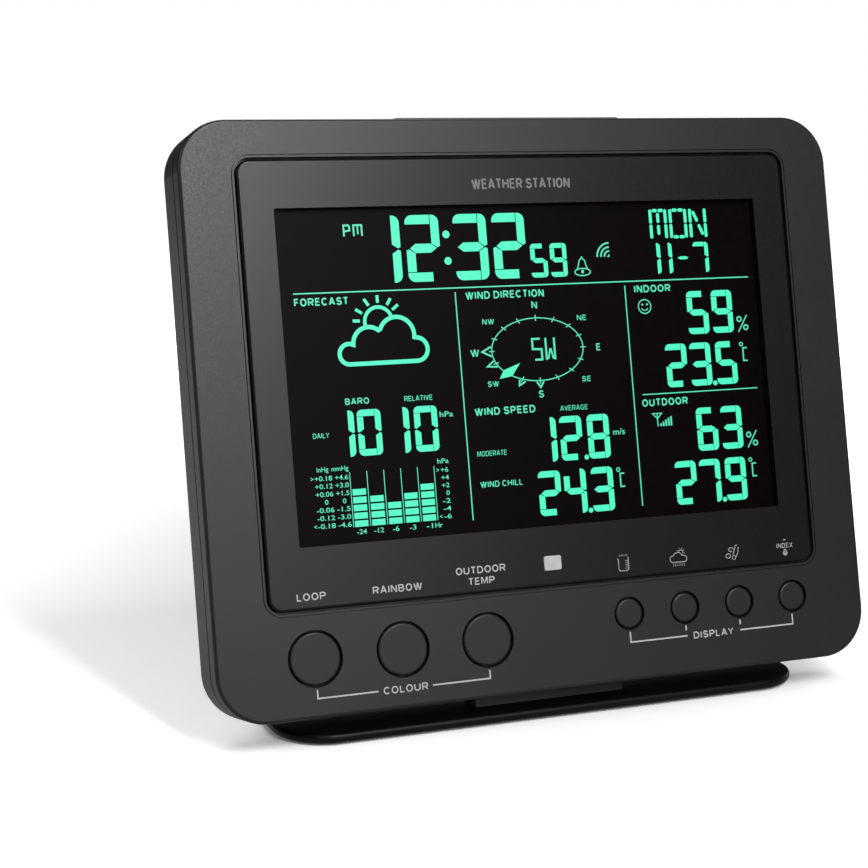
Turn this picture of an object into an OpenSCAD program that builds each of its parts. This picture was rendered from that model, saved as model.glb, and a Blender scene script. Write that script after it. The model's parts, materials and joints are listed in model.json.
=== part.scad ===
// Home weather station: a leaning console with a backlit display, keys and a plug-in table stand.
// Most pieces are placed in the console's own frame: x to the right, y (depth) into the case from
// the front face, z (height) up the sloping face from its bottom edge. in_console() leans that frame
// back and lifts it over the stand.

/* [Console case] */
// Width of the console
case_w = 202.4; // [201.6:0.1:203.2]
// Height of the console, measured up its sloping face
case_h = 163.8; // [163:0.1:165]
// How far the underside lies below the console frame's origin
case_drop = 0.8; // [0.6:0.1:1]
// Radius of the case's corners, seen from the front
case_corner = 14; // [14:0.5:16]
// Radius of the rounded edge round the front face
front_edge_r = 1; // [0.6:0.1:1.4]
// Thickness of both shells' walls
wall = 2.4; // [2.3:0.1:2.5]
// Depth at which the front shell meets the rear shell
part_depth = 5.5; // [5.4:0.1:5.8]
// Depth at which the rear shell's straight side wall ends
side_depth = 20; // [20:0.1:20.4]
// Depth of the raised middle of the back
back_depth = 29; // [29:0.1:29.4]
// Width of the raised middle of the back
hump_w = 172; // [170:1:174]
// Height of the raised middle of the back
hump_h = 134; // [133:1:134]
// Height of the raised middle's centre
hump_z = 85; // [84.5:0.5:85]
// How far the console leans back from upright, in degrees
tilt = 12.315; // [12:0.1:12.6]
// Height of the console frame's origin above the table
face_lift = 9.65; // [9.6:0.05:9.9]

/* [Bezel and display] */
// Width of the bezel panel
bezel_w = 170.4; // [169.6:0.1:170.6]
// Height of the bezel panel
bezel_h = 123.3; // [122.6:0.1:123.4]
// Height of the bezel panel's centre
bezel_z = 90.25; // [90:0.05:90.5]
// Corner radius of the bezel panel
bezel_corner = 4; // [3:0.5:5]
// Thickness of the bezel panel
bezel_t = 2; // [1.8:0.1:2]
// Gap round the bezel panel
bezel_gap = 0.55; // [0.4:0.05:0.6]
// Width of the display window
window_w = 150.2; // [149:0.1:151]
// Height of the display window
window_h = 92.7; // [92:0.1:93]
// Sideways offset of the display window's centre
window_x = -0.25; // [-0.5:0.05:0]
// Height of the display window's centre
window_z = 92; // [91.9:0.1:92.1]
// Width of the display glass
glass_w = 158; // [157:0.5:158.5]
// Height of the display glass
glass_h = 100; // [99:0.5:100.4]
// Depth of the display's front surface below the face
glass_depth = 2.3; // [2.2:0.1:2.4]
// Width of the alert light's window
alert_w = 5.7; // [5:0.1:6]
// Height of the alert light's window
alert_h = 4.4; // [4:0.1:4.4]
// Sideways place of the alert light
alert_x = -0.55; // [-1:0.05:0]
// Height of the alert light
alert_z = 35.1; // [35:0.1:35.2]

/* [Front buttons] */
// Radius of the three large buttons
large_r = 7.3; // [7.1:0.05:7.35]
// Sideways place of the leftmost large button
large_x = -73.22; // [-73.4:0.02:-73]
// Spacing of the large buttons
large_pitch = 25.42; // [25.3:0.02:25.5]
// Height of the large buttons' centres
large_z = 15.42; // [15.3:0.02:15.6]
// Radius of the four small buttons
small_r = 4.3; // [4.1:0.05:4.35]
// Sideways place of the leftmost small button
small_x = 22.36; // [22.2:0.02:22.6]
// Spacing of the small buttons
small_pitch = 18.18; // [18.1:0.02:18.2]
// Height of the small buttons' centres
small_z = 18.52; // [18.4:0.02:18.6]
// Gap between a button and its hole
button_gap = 0.55; // [0.45:0.05:0.6]
// Rounding of the buttons' front edges
button_edge_r = 0.7; // [0.4:0.1:0.8]

/* [Snooze key] */
// Width of the snooze key on top of the case
snooze_w = 72.4; // [70:0.1:73]
// Depth of the snooze key, front to back
snooze_l = 9.2; // [8.8:0.1:9.4]
// How far the snooze key stands above the case
snooze_rise = 1.6; // [1.4:0.1:1.8]
// Depth of the snooze key's front edge
snooze_y = 6.4; // [6.4:0.1:6.6]

/* [Rear keys] */
// Width of a rear key
rear_key_w = 11; // [10:0.5:11.5]
// Height of a rear key
rear_key_h = 5.6; // [5:0.1:6]
// Spacing of the rear keys
rear_key_pitch = 17; // [16.8:0.1:17]
// Height of the row of rear keys
rear_key_z = 120; // [119.5:0.5:120]
// How far a rear key stands out of the back
rear_key_rise = 0.6; // [0.5:0.1:0.8]
// Sideways place of the slide switch
slide_x = -62; // [-63:0.5:-61.5]
// Travel of the slide switch
slide_travel = 4; // [3:0.5:4]
// Sideways place of the reset key
reset_x = 60; // [60:0.5:61]

/* [Battery bay and sockets] */
// Width of the battery door
door_w = 33.2; // [32:0.1:33.4]
// Height of the battery door's hinge axis
door_hinge_z = 48.6; // [48.4:0.1:48.8]
// Height of the battery door's top edge
door_top_z = 82; // [81:0.5:82]
// Radius of the battery door's hinge pins
door_pin_r = 0.9; // [0.8:0.05:0.95]
// Radius of the backup coin cell
cell_r = 10; // [9.9:0.1:10]
// Thickness of the backup coin cell
cell_t = 3.2; // [3:0.1:3.4]
// Height of the coin cell's centre
cell_z = 65; // [64:0.5:66]
// Sideways place of the power socket
jack_x = 62; // [60:0.5:63]
// Height of the power socket
jack_z = 50; // [49:0.5:51]
// Radius of the power socket's bore
jack_r = 3; // [2.8:0.1:3.1]
// Radius of the wall hanger's round entry
hanger_r = 4.2; // [4:0.1:4.4]
// Half width of the wall hanger's slot
hanger_slot_r = 2.1; // [2:0.1:2.2]
// Height of the wall hanger's round entry
hanger_z = 137; // [136.8:0.1:137.2]

/* [Stand] */
// Width of the stand's plate
stand_w = 163.8; // [162:0.1:165]
// Place of the plate's front edge behind the console frame's origin
stand_front = 0.9; // [0.7:0.1:1.4]
// Place of the plate's rear edge behind the console frame's origin
stand_rear = 70; // [68:1:72]
// Corner radius of the plate
stand_corner = 15.5; // [14:0.5:17]
// Thickness of the plate
stand_t = 2.9; // [2.8:0.1:2.9]
// Height of the plate's underside above the table
foot_gap = 0.5; // [0.4:0.1:0.5]
// Radius of a rubber foot
foot_r = 5; // [4:0.5:6]
// Width of the riser that plugs into the console
riser_w = 48.8; // [47.6:0.1:48.8]
// Thickness of the riser, front to back
riser_t = 7; // [6.6:0.1:7.1]
// Depth of the riser's front face in the console frame
riser_y = 10.3; // [10.25:0.05:10.4]
// How far the riser reaches up into the console
riser_top = 12.9; // [12:0.1:12.9]

/* [Hidden] */
$fn = 64;
eps = 0.01;
cut = 0.5;
slack = 0.35;

case_bottom = -case_drop;
case_top = case_bottom + case_h;
case_mid = case_bottom + case_h / 2;
face_front_y = front_edge_r * cos(tilt) + (case_bottom + front_edge_r) * sin(tilt) - front_edge_r;
origin_y = (face_front_y + stand_rear) / 2;
plate_top = foot_gap + stand_t;

shelf_front = bezel_t + 0.1;
shelf_back = 4.1;
shelf_open_w = 161;
shelf_open_h = 103;
pad_margin = 2.4;
lip_depth = 2;
lip_t = 1.1;
lip_slack = 0.15;
lip_cut_w = 84;
seam = 0.7;
seam_in = 0.5;
rim_groove = 0.25;
bezel_edge_r = 0.9;
rim_ledge = 0.6;

side_back_r = 4.6;
hump_corner = 14;
hump_back_r = 5;
back_inner = back_depth - wall;
side_inner = side_depth - wall;

// Front stack, by depth: display glass, light guide and boards
glass_t = 1.1;
glass_ledge = 3.2;
polariser_t = 0.2;
glass_front = glass_depth + polariser_t;
glass_back = glass_front + 2 * glass_t;
diffuser_t = 0.3;
guide_front = glass_back + diffuser_t + 0.2;
guide_t = 3;
guide_w = 152;
guide_h = 91;
sheet_t = 0.3;
frame_back = 10;
strip_z = glass_h / 2 - glass_ledge / 2;
board_front = 10.2;
board_t = 1.6;
board_back = board_front + board_t;
board_w = 176;
board_h = 118;
board_z = 89;
board_posts = [for (x = [-85.6, 85.6], z = [40, 92, 144]) [x, z]];
post_r = 2.6;

key_board_front = 6.8;
key_board_back = key_board_front + board_t;
key_board_z = 15.25;
key_board_w = 168;
key_board_h = 20.5;
key_posts = [for (x = [-60.5, -35.1, 31.45, 67.8]) [x, large_z]];
key_post_r = 2.2;

rear_board_front = 20.6;
rear_board_back = rear_board_front + board_t;
rear_board_x = -2;
rear_board_w = 140;
rear_board_h = 20;
rear_posts = [for (x = [-52.5, 52.5], z = [-6.5, 6.5]) [x, rear_key_z + z]];
rear_post_r = 2.4;

pilot_r = 1.2;
screw_r = 1.1;
screw_head_r = 2.2;
screw_head_t = 1.3;
case_screw_r = 1.25;
case_head_r = 2.6;
case_head_t = 1.6;
case_head_y = 18.2;
boss_r = 3.2;
boss_split = 12;
case_bosses = [for (x = [-92, 92], z = [12, 81, 150]) [x, z]];

switch_w = 6;
switch_t = 2.2;
switch_bore_r = 1.85;
stem_r = 1.5;
stem_sink = 0.8;
key_flange_t = 0.8;
key_flange_gap = 0.4;
cap_flange = 1.2;

large_keys = [for (i = [0:2]) [large_x + i * large_pitch, large_z, large_r]];
small_keys = [for (i = [0:3]) [small_x + i * small_pitch, small_z, small_r]];
front_keys = concat(large_keys, small_keys);
rear_keys = [for (i = [0:5]) [(i - 2.5) * rear_key_pitch, rear_key_z]];

knob_w = 2.6;
knob_h = 3.6;
slide_mid_z = rear_key_z;
knob_z = slide_mid_z - slide_travel / 2;
reset_r = 1.3;

snooze_top = case_top + snooze_rise;
snooze_mid = snooze_y + snooze_l / 2;
snooze_edge_r = 0.9;
snooze_board_z = 149.4;
snooze_board_w = 24;
snooze_board_front = 6.6;
snooze_board_back = 15.6;
snooze_brackets = [-9, 9];

bay_w = 34;
bay_bottom = 47;
bay_top = 82.4;
bay_floor = 21.4;
bay_wall = 1.5;
door_t = 1.8;
door_inner = back_depth - door_t;
door_knuckle_r = 1.3;
door_axis_y = back_depth - door_knuckle_r;
door_pin_reach = 1.6;
hinge_clear = 0.05;
cell_front = 22.4;
cell_ring_r = cell_r + 0.5;

socket_front = 9.9;
socket_top = 13;
socket_wall = 1.4;
socket_x = riser_w / 2 + slack;
riser_mid = riser_y + riser_t / 2;
stand_screws_x = [-16, 16];
stand_screw_y = 13.4;
stand_screw_r = 1.4;
stand_head_r = 2.8;
stand_low_r = 1.4;
stand_high_r = 1.2;

case_colour = "#3b3b3d";
bezel_colour = "#2b2b2d";
button_colour = "#363638";
board_colour = "#1f5c38";
metal_colour = "#c0c2c6";

// ---------- Shape helpers ----------

// Puts children drawn in the console's frame into the part's frame
module in_console() {
    translate([0, -origin_y, face_lift])
        rotate([-tilt, 0, 0])
            children();
}

// Flat rectangle with round corners, centred
module rounded_rect(w, h, r) {
    if (r > 0) {
        square([w, h - 2 * r], center = true);
        square([w - 2 * r, h], center = true);
        for (sx = [-1, 1], sy = [-1, 1])
            translate([sx * (w / 2 - r), sy * (h / 2 - r)])
                circle(r);
    } else {
        square([w, h], center = true);
    }
}

// Right half of a slab's cross-section, with its lower and upper outer edges rounded
module edge_profile(half, t, low_r, high_r) {
    big = max(low_r, high_r);
    square([half - big, t]);
    translate([0, low_r])
        square([half, t - low_r - high_r]);
    if (low_r > 0) {
        translate([half - low_r, low_r])
            circle(low_r);
        square([half - low_r, low_r]);
    }
    if (high_r > 0) {
        translate([half - high_r, t - high_r])
            circle(high_r);
        translate([0, t - high_r])
            square([half - high_r, high_r]);
    }
}

module full_profile(half, t, low_r, high_r) {
    edge_profile(half, t, low_r, high_r);
    mirror([1, 0])
        edge_profile(half, t, low_r, high_r);
}

// Slab lying in x and y from z = 0 up, with round corners and rounded lower and upper edges
module slab(w, h, t, corner, low_r, high_r) {
    for (sx = [-1, 1], sy = [-1, 1])
        translate([sx * (w / 2 - corner), sy * (h / 2 - corner), 0])
            rotate_extrude()
                edge_profile(corner, t, low_r, high_r);
    rotate([90, 0, 90])
        linear_extrude(w - 2 * corner, center = true)
            full_profile(h / 2, t, low_r, high_r);
    rotate([90, 0, 0])
        linear_extrude(h - 2 * corner, center = true)
            full_profile(w / 2, t, low_r, high_r);
}

// Slab facing the front, centred at x and z, from depth y inwards
module face_slab(x, z, y, w, h, t, corner, front_r, back_r) {
    translate([x, y, z])
        rotate([-90, 0, 0])
            slab(w, h, t, corner, front_r, back_r);
}

// Plain plate facing the front, centred at x and z, from depth y0 to y1
module plate(x, z, y0, y1, w, h, r = 0) {
    translate([x, y0, z])
        rotate([-90, 0, 0])
            linear_extrude(y1 - y0)
                rounded_rect(w, h, r);
}

// Round peg along the depth, from depth y0 to y1
module peg(x, z, y0, y1, r) {
    translate([x, y0, z])
        rotate([-90, 0, 0])
            cylinder(h = y1 - y0, r = r);
}

// Box given by its ends along x, depth and height
module span_box(x, y, z) {
    translate([x[0], y[0], z[0]])
        cube([x[1] - x[0], y[1] - y[0], z[1] - z[0]]);
}

// Flat ring facing the front: a plate with a smaller plate taken out
module plate_ring(x, z, y0, y1, w, h, r, inset) {
    difference() {
        plate(x, z, y0, y1, w, h, r);
        plate(x, z, y0 - cut, y1 + cut, w - 2 * inset, h - 2 * inset, max(r - inset, 0));
    }
}

// Screw along the depth with a cross in its head; the head is at the side that faces dir
module screw(x, z, y_head, y_tip, shaft_r, head_r, head_t) {
    dir = y_head > y_tip ? 1 : -1;
    head_end = y_head + dir * head_t;
    recess_end = y_head + dir * head_t / 2;
    difference() {
        union() {
            peg(x, z, min(y_head, y_tip), max(y_head, y_tip), shaft_r);
            peg(x, z, min(y_head, head_end), max(y_head, head_end), head_r);
        }
        for (turn = [0, 90])
            translate([x, (recess_end + head_end + dir * cut) / 2, z])
                rotate([0, turn, 0])
                    cube([head_r * 1.3, abs(head_end - recess_end) + cut, head_r * 0.25],
                        center = true);
    }
}

// ---------- Case ----------

module front_shell() {
    color(case_colour)
        in_console()
            difference() {
                union() {
                    front_shell_skin();
                    front_shell_lip();
                    plate(0, bezel_z, wall / 2, shelf_back, bezel_w + 2 * pad_margin,
                        bezel_h + 2 * pad_margin, bezel_corner + pad_margin);
                    for (p = case_bosses)
                        peg(p[0], p[1], wall / 2, boss_split, boss_r);
                    for (p = board_posts)
                        peg(p[0], p[1], wall / 2, board_front, post_r);
                    for (p = key_posts)
                        peg(p[0], p[1], wall / 2, key_board_front, key_post_r);
                }
                bezel_rebate();
                for (k = front_keys)
                    peg(k[0], k[1], -cut, wall + cut, k[2] + button_gap);
                for (p = case_bosses)
                    peg(p[0], p[1], shelf_back, boss_split + cut, case_screw_r + 0.05);
                for (p = board_posts)
                    peg(p[0], p[1], shelf_back, board_front + cut, pilot_r);
                for (p = key_posts)
                    peg(p[0], p[1], wall + 0.6, key_board_front + cut, pilot_r);
            }
}

module front_shell_skin() {
    difference() {
        face_slab(0, case_mid, 0, case_w, case_h, part_depth, case_corner, front_edge_r, 0);
        plate(0, case_mid, wall, part_depth + cut, case_w - 2 * wall, case_h - 2 * wall,
            case_corner - wall);
    }
}

// Inner lip that keys the front shell into the rear shell, left out under the snooze key
module front_shell_lip() {
    lip_w = case_w - 2 * (wall + lip_slack);
    lip_h = case_h - 2 * (wall + lip_slack);
    lip_corner = case_corner - wall - lip_slack;
    difference() {
        union() {
            plate_ring(0, case_mid, part_depth - eps, part_depth + lip_depth, lip_w, lip_h,
                lip_corner, lip_t);
            plate_ring(0, case_mid, wall / 2, part_depth, case_w - wall, case_h - wall,
                case_corner - wall / 2, wall / 2 + lip_slack + lip_t);
        }
        span_box([-lip_cut_w / 2, lip_cut_w / 2], [wall, part_depth + lip_depth + cut],
            [case_top - wall - 2 * lip_t, case_top - wall - eps]);
    }
}

// Seat for the bezel panel, the display opening and the fine groove round the seat
module bezel_rebate() {
    seat_w = bezel_w + 2 * bezel_gap;
    seat_h = bezel_h + 2 * bezel_gap;
    groove_out = rim_ledge + rim_groove;
    plate(0, bezel_z, -cut, shelf_front, seat_w, seat_h, bezel_corner + bezel_gap);
    plate_ring(0, bezel_z, -cut, cut, seat_w + 2 * groove_out, seat_h + 2 * groove_out,
        bezel_corner + bezel_gap + groove_out, rim_groove);
    plate(0, window_z, shelf_front - cut, shelf_back + cut, shelf_open_w, shelf_open_h, 1);
    plate(alert_x, alert_z, shelf_front - cut, shelf_back + cut, alert_w + 0.4, alert_h + 0.4, 0.5);
}

module bezel_panel() {
    color(bezel_colour)
        in_console()
            difference() {
                face_slab(0, bezel_z, 0, bezel_w, bezel_h, bezel_t, bezel_corner, bezel_edge_r, 0);
                plate(window_x, window_z, -cut, bezel_t + cut, window_w, window_h, 0.6);
                plate(alert_x, alert_z, -cut, bezel_t + cut, alert_w, alert_h, 0.5);
            }
}

module rear_shell() {
    color(case_colour)
        in_console()
            difference() {
                union() {
                    difference() {
                        rear_outside();
                        rear_inside();
                    }
                    rear_bosses();
                    battery_bay_walls();
                    riser_socket_walls();
                    hanger_cup();
                }
                rear_seam();
                rear_key_holes();
                battery_bay_space();
                riser_socket_space();
                hanger_space();
                case_screw_holes();
                vents();
                snooze_opening();
                peg(jack_x, jack_z, back_inner - cut, back_depth + cut, jack_r + 0.4);
            }
}

module rear_outside() {
    face_slab(0, case_mid, part_depth, case_w, case_h, side_depth - part_depth, case_corner,
        0, side_back_r);
    face_slab(0, hump_z, boss_split, hump_w, hump_h, back_depth - boss_split, hump_corner,
        0, hump_back_r);
}

module rear_inside() {
    face_slab(0, case_mid, part_depth - cut, case_w - 2 * wall, case_h - 2 * wall,
        side_inner - part_depth + cut, case_corner - wall, 0, side_back_r - wall);
    face_slab(0, hump_z, boss_split, hump_w - 2 * wall, hump_h - 2 * wall,
        back_inner - boss_split, hump_corner - wall, 0, hump_back_r - wall);
}

module rear_bosses() {
    for (p = case_bosses)
        peg(p[0], p[1], boss_split + eps, side_inner + cut, boss_r);
    for (p = rear_posts)
        peg(p[0], p[1], rear_board_back, back_inner + cut, rear_post_r);
    for (x = snooze_brackets)
        snooze_bracket(x);
}

// L-shaped bracket that carries the snooze board's rear edge
module snooze_bracket(x) {
    span_box([x - 1.5, x + 1.5], [snooze_board_back - 1.5, side_inner + cut],
        [snooze_board_z - 1.6, snooze_board_z]);
    span_box([x - 1.5, x + 1.5], [snooze_board_back + 0.1, side_inner + cut],
        [snooze_board_z - 1.6, snooze_board_z + 6]);
}

// Fine groove where the two shells meet
module rear_seam() {
    difference() {
        plate(0, case_mid, part_depth - cut, part_depth + seam, case_w + cut, case_h + cut,
            case_corner + cut / 2);
        plate(0, case_mid, part_depth - 2 * cut, part_depth + seam + cut, case_w - 2 * seam_in,
            case_h - 2 * seam_in, case_corner - seam_in);
    }
}

module rear_key_holes() {
    for (k = rear_keys)
        plate(k[0], k[1], back_inner - cut, back_depth + cut, rear_key_w + 2 * slack,
            rear_key_h + 2 * slack, 1.4 + slack);
    plate(slide_x, slide_mid_z, back_inner - cut, back_depth + cut, knob_w + 2 * slack,
        knob_h + slide_travel + 2 * slack, 0.6);
    peg(reset_x, rear_key_z, back_inner - cut, back_depth + cut, reset_r + 0.4);
    for (p = rear_posts)
        peg(p[0], p[1], rear_board_back - cut, back_inner - 0.4, pilot_r);
}

module battery_bay_walls() {
    span_box([-bay_w / 2 - bay_wall, bay_w / 2 + bay_wall], [bay_floor - bay_wall, back_inner + cut],
        [bay_bottom - bay_wall, bay_top + bay_wall]);
}

// Space of the battery bay, with the ring that holds the cell left standing
module battery_bay_space() {
    difference() {
        span_box([-bay_w / 2, bay_w / 2], [bay_floor, back_depth + cut], [bay_bottom, bay_top]);
        difference() {
            peg(0, cell_z, bay_floor - cut, cell_front + cell_t - 0.6, cell_ring_r + 1.4);
            peg(0, cell_z, bay_floor - 2 * cut, cell_front + cell_t, cell_ring_r);
            span_box([0, cell_ring_r + 2], [bay_floor - 2 * cut, back_depth],
                [cell_z - 4, cell_z + 4]);
        }
    }
    for (side = [-1, 1])
        translate([side * (bay_w / 2 + door_pin_reach / 2), door_axis_y, door_hinge_z])
            rotate([0, 90, 0])
                cylinder(h = door_pin_reach + 0.6, r = door_pin_r + hinge_clear, center = true);
    for (x = [0, cell_r + 0.2])
        peg(x, cell_z, bay_floor - bay_wall - cut, bay_floor + cut, 0.6);
}

module riser_socket_walls() {
    span_box([-socket_x - socket_wall, socket_x + socket_wall],
        [socket_front - 1, side_inner + cut],
        [case_bottom + wall / 2, socket_top + socket_wall]);
}

module riser_socket_space() {
    span_box([-socket_x, socket_x], [socket_front, side_inner], [case_bottom - cut, socket_top]);
}

module hanger_cup() {
    span_box([-7.5, 7.5], [back_inner - 4.5, back_inner + cut], [hanger_z - 5.6, hanger_z + 11.4]);
}

module hanger_space() {
    slot_top = hanger_z + 6.5;
    peg(0, hanger_z, back_inner - cut, back_depth + cut, hanger_r);
    peg(0, slot_top, back_inner - cut, back_depth + cut, hanger_slot_r);
    span_box([-hanger_slot_r, hanger_slot_r], [back_inner - cut, back_depth + cut],
        [hanger_z, slot_top]);
    span_box([-6, 6], [back_inner - 3, back_inner], [hanger_z - 4.4, hanger_z + 10]);
}

module case_screw_holes() {
    for (p = case_bosses) {
        peg(p[0], p[1], boss_split - cut, side_depth + cut, case_screw_r + 0.25);
        peg(p[0], p[1], case_head_y, side_depth + cut, case_head_r + 0.2);
    }
}

module vents() {
    for (x = [-60, 60], i = [-2:2])
        plate(x, 85 + i * 4, back_inner - cut, back_depth + cut, 22, 1.6, 0.75);
}

module snooze_opening() {
    span_box([-snooze_w / 2 - slack, snooze_w / 2 + slack],
        [snooze_y - slack, snooze_y + snooze_l + slack], [case_top - wall - cut, case_top + cut]);
}

module case_screws() {
    color(metal_colour)
        in_console()
            for (p = case_bosses)
                screw(p[0], p[1], case_head_y, 6, case_screw_r, case_head_r, case_head_t);
}

// ---------- Display ----------

module lcd_polariser() {
    color("#15141a")
        in_console()
            plate(window_x, window_z, glass_depth, glass_front, glass_w - 3, glass_h - 3, 0.3);
}

// Two glass sheets; the front one stands past the rear one where the contact strips press
module lcd_glass() {
    color("#202428")
        in_console() {
            plate(0, window_z, glass_front, glass_front + glass_t, glass_w, glass_h, 0.3);
            plate(0, window_z, glass_front + glass_t - eps, glass_back, glass_w,
                glass_h - 2 * glass_ledge, 0.3);
        }
}

module diffuser_sheet() {
    color("#f4f4f0")
        in_console()
            plate(0, window_z, glass_back + 0.05, glass_back + 0.05 + diffuser_t, guide_w, guide_h);
}

module light_guide() {
    color("#d8f0ea")
        in_console()
            plate(0, window_z, guide_front, guide_front + guide_t, guide_w, guide_h, 0.5);
}

module reflector_sheet() {
    color("#fafafa")
        in_console()
            plate(0, window_z, guide_front + guide_t + 0.05, guide_front + guide_t + 0.05 + sheet_t,
                guide_w, guide_h);
}

module backlight_leds() {
    color("#fff2b0")
        in_console()
            for (side = [-1, 1], i = [-3.5:3.5])
                plate(side * (guide_w / 2 + 1.2), window_z + i * 11, guide_front + 0.5,
                    guide_front + 2.5, 2, 4, 0.3);
}

module led_strips() {
    color(board_colour)
        in_console()
            for (side = [-1, 1])
                plate(side * (guide_w / 2 + 2.7), window_z, guide_front, guide_front + guide_t, 1, 86);
}

// White holder round the glass and light guide, with slots for the contact strips
module lcd_frame() {
    color("#e8e8e4")
        in_console()
            difference() {
                plate(0, window_z, shelf_back + 0.1, frame_back, 164.8, 106.4, 1.5);
                plate(0, window_z, shelf_back - cut, frame_back - 1.2, glass_w + 1.2, glass_h + 1.2);
                for (side = [-1, 1])
                    plate(0, window_z + side * strip_z, shelf_back, frame_back + cut, 149.2, 2.4);
            }
}

module zebra_strips() {
    color("#d890a0")
        in_console()
            for (side = [-1, 1])
                plate(0, window_z + side * strip_z, glass_front + glass_t, board_front, 148, 2);
}

// ---------- Boards and electronics ----------

module main_board() {
    color(board_colour)
        in_console()
            difference() {
                plate(0, board_z, board_front, board_back, board_w, board_h, 2);
                for (p = board_posts)
                    peg(p[0], p[1], board_front - cut, board_back + cut, screw_r + 0.15);
            }
}

module controller_chip() {
    color("#222222")
        in_console()
            plate(-24, 100, board_back, board_back + 1.4, 14, 14, 0.4);
}

module driver_chips() {
    color("#262626")
        in_console()
            for (z = [92, 108])
                plate(20, z, board_back, board_back + 1.6, 10, 7, 0.3);
}

module wifi_module() {
    color("#b8b8bc")
        in_console() {
            plate(-62, 128, board_back, board_back + 0.8, 18, 25);
            plate(-62, 126, board_back + 0.7, board_back + 3.2, 15, 17, 0.6);
        }
}

module radio_module() {
    color("#2c6e8c")
        in_console() {
            plate(60, 128, board_back, board_back + 1, 20, 15);
            plate(60, 128, board_back + 0.9, board_back + 2.6, 8, 8, 0.3);
        }
}

module antenna_wire() {
    color("#c47a35")
        in_console()
            translate([-20, board_back + 1.6, 143])
                rotate([0, 90, 0])
                    cylinder(h = 80, r = 0.6);
}

module capacitors() {
    color("#1d2a44")
        in_console()
            for (p = [[72, 68], [79, 68], [72, 76]])
                peg(p[0], p[1], board_back, board_back + 8, 3);
}

module buzzer() {
    color("#181818")
        in_console()
            difference() {
                peg(42, 78, board_back, board_back + 7, 6);
                peg(42, 78, board_back + 4, board_back + 7 + cut, 1);
            }
}

// Pin header that joins the main board to the rear board
module board_header() {
    color("#101010")
        in_console()
            plate(0, rear_key_z + 2, board_back, rear_board_front, 20, 2.5);
}

module key_board() {
    color(board_colour)
        in_console()
            difference() {
                plate(0, key_board_z, key_board_front, key_board_back, key_board_w, key_board_h, 1.5);
                for (p = key_posts)
                    peg(p[0], p[1], key_board_front - cut, key_board_back + cut, screw_r + 0.15);
            }
}

// Flat cable from the back of the key board to the back of the main board
module key_ribbon() {
    ribbon_t = 0.4;
    low_z = 21;
    high_z = 34;
    color("#d8d8dc")
        in_console() {
            span_box([-6, 6], [key_board_back, board_back + ribbon_t], [low_z, low_z + ribbon_t]);
            span_box([-6, 6], [board_back, board_back + ribbon_t], [low_z, high_z]);
        }
}

// Square switch body whose bore the key's stem sinks into
module switch_body(x, z, y_board, dir) {
    y_open = y_board + dir * switch_t;
    y_floor = y_board + dir * 0.2;
    difference() {
        plate(x, z, min(y_board, y_open), max(y_board, y_open), switch_w, switch_w, 0.4);
        peg(x, z, min(y_floor, y_open + dir * cut), max(y_floor, y_open + dir * cut),
            switch_bore_r);
    }
}

module front_switches() {
    color("#1a1a1a")
        in_console()
            for (k = front_keys)
                switch_body(k[0], k[1], key_board_front, -1);
}

module rear_board() {
    color(board_colour)
        in_console()
            difference() {
                plate(rear_board_x, rear_key_z, rear_board_front, rear_board_back, rear_board_w,
                    rear_board_h, 1);
                for (p = rear_posts)
                    peg(p[0], p[1], rear_board_front - cut, rear_board_back + cut, screw_r + 0.15);
            }
}

module rear_switches() {
    color("#1a1a1a")
        in_console() {
            for (k = rear_keys)
                switch_body(k[0], k[1], rear_board_back, 1);
            switch_body(reset_x, rear_key_z, rear_board_back, 1);
        }
}

module slide_switch() {
    color(metal_colour)
        in_console()
            plate(slide_x, rear_key_z, rear_board_back, rear_board_back + 2.7, 5, 16, 0.4);
}

module snooze_board() {
    color(board_colour)
        in_console()
            span_box([-snooze_board_w / 2, snooze_board_w / 2],
                [snooze_board_front, snooze_board_back],
                [snooze_board_z, snooze_board_z + board_t]);
}

module snooze_switch() {
    color("#1a1a1a")
        in_console()
            translate([0, snooze_mid, snooze_board_z + board_t])
                difference() {
                    linear_extrude(switch_t)
                        rounded_rect(switch_w, switch_w, 0.4);
                    translate([0, 0, 0.2])
                        cylinder(h = switch_t, r = switch_bore_r);
                }
}

// Temperature and humidity sensor on its own small board behind the left vents
module climate_sensor() {
    color("#e9e9ea")
        in_console() {
            plate(-60, 85, 22.6, 23.6, 14, 12, 0.5);
            plate(-60, 85, 23.5, 24.9, 5, 5, 0.3);
        }
}

module sensor_lead() {
    color("#404040")
        in_console()
            peg(-60, 82, board_back, 22.6, 1.1);
}

module board_screws() {
    color(metal_colour)
        in_console() {
            for (p = board_posts)
                screw(p[0], p[1], board_back, shelf_back + 0.6, screw_r, screw_head_r, screw_head_t);
            for (p = key_posts)
                screw(p[0], p[1], key_board_back, wall + 1, screw_r, screw_head_r - 0.2, screw_head_t);
            for (p = rear_posts)
                screw(p[0], p[1], rear_board_front, back_inner - 1, screw_r, screw_head_r,
                    screw_head_t);
        }
}

module alert_led() {
    color("#f0f0f0")
        in_console()
            plate(alert_x, alert_z, board_front - 1.4, board_front, 3.2, 2.8, 0.3);
}

// Light pipe from the alert lamp to its window in the bezel panel
module alert_lens() {
    color("#c3c4c6")
        in_console() {
            face_slab(alert_x, alert_z, 0, alert_w - 0.2, alert_h - 0.2, bezel_t, 0.6, 0.25, 0);
            plate(alert_x, alert_z, bezel_t - eps, board_front - 1.6, alert_w - 1, alert_h - 1, 0.3);
        }
}

// ---------- Keys and buttons ----------

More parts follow.
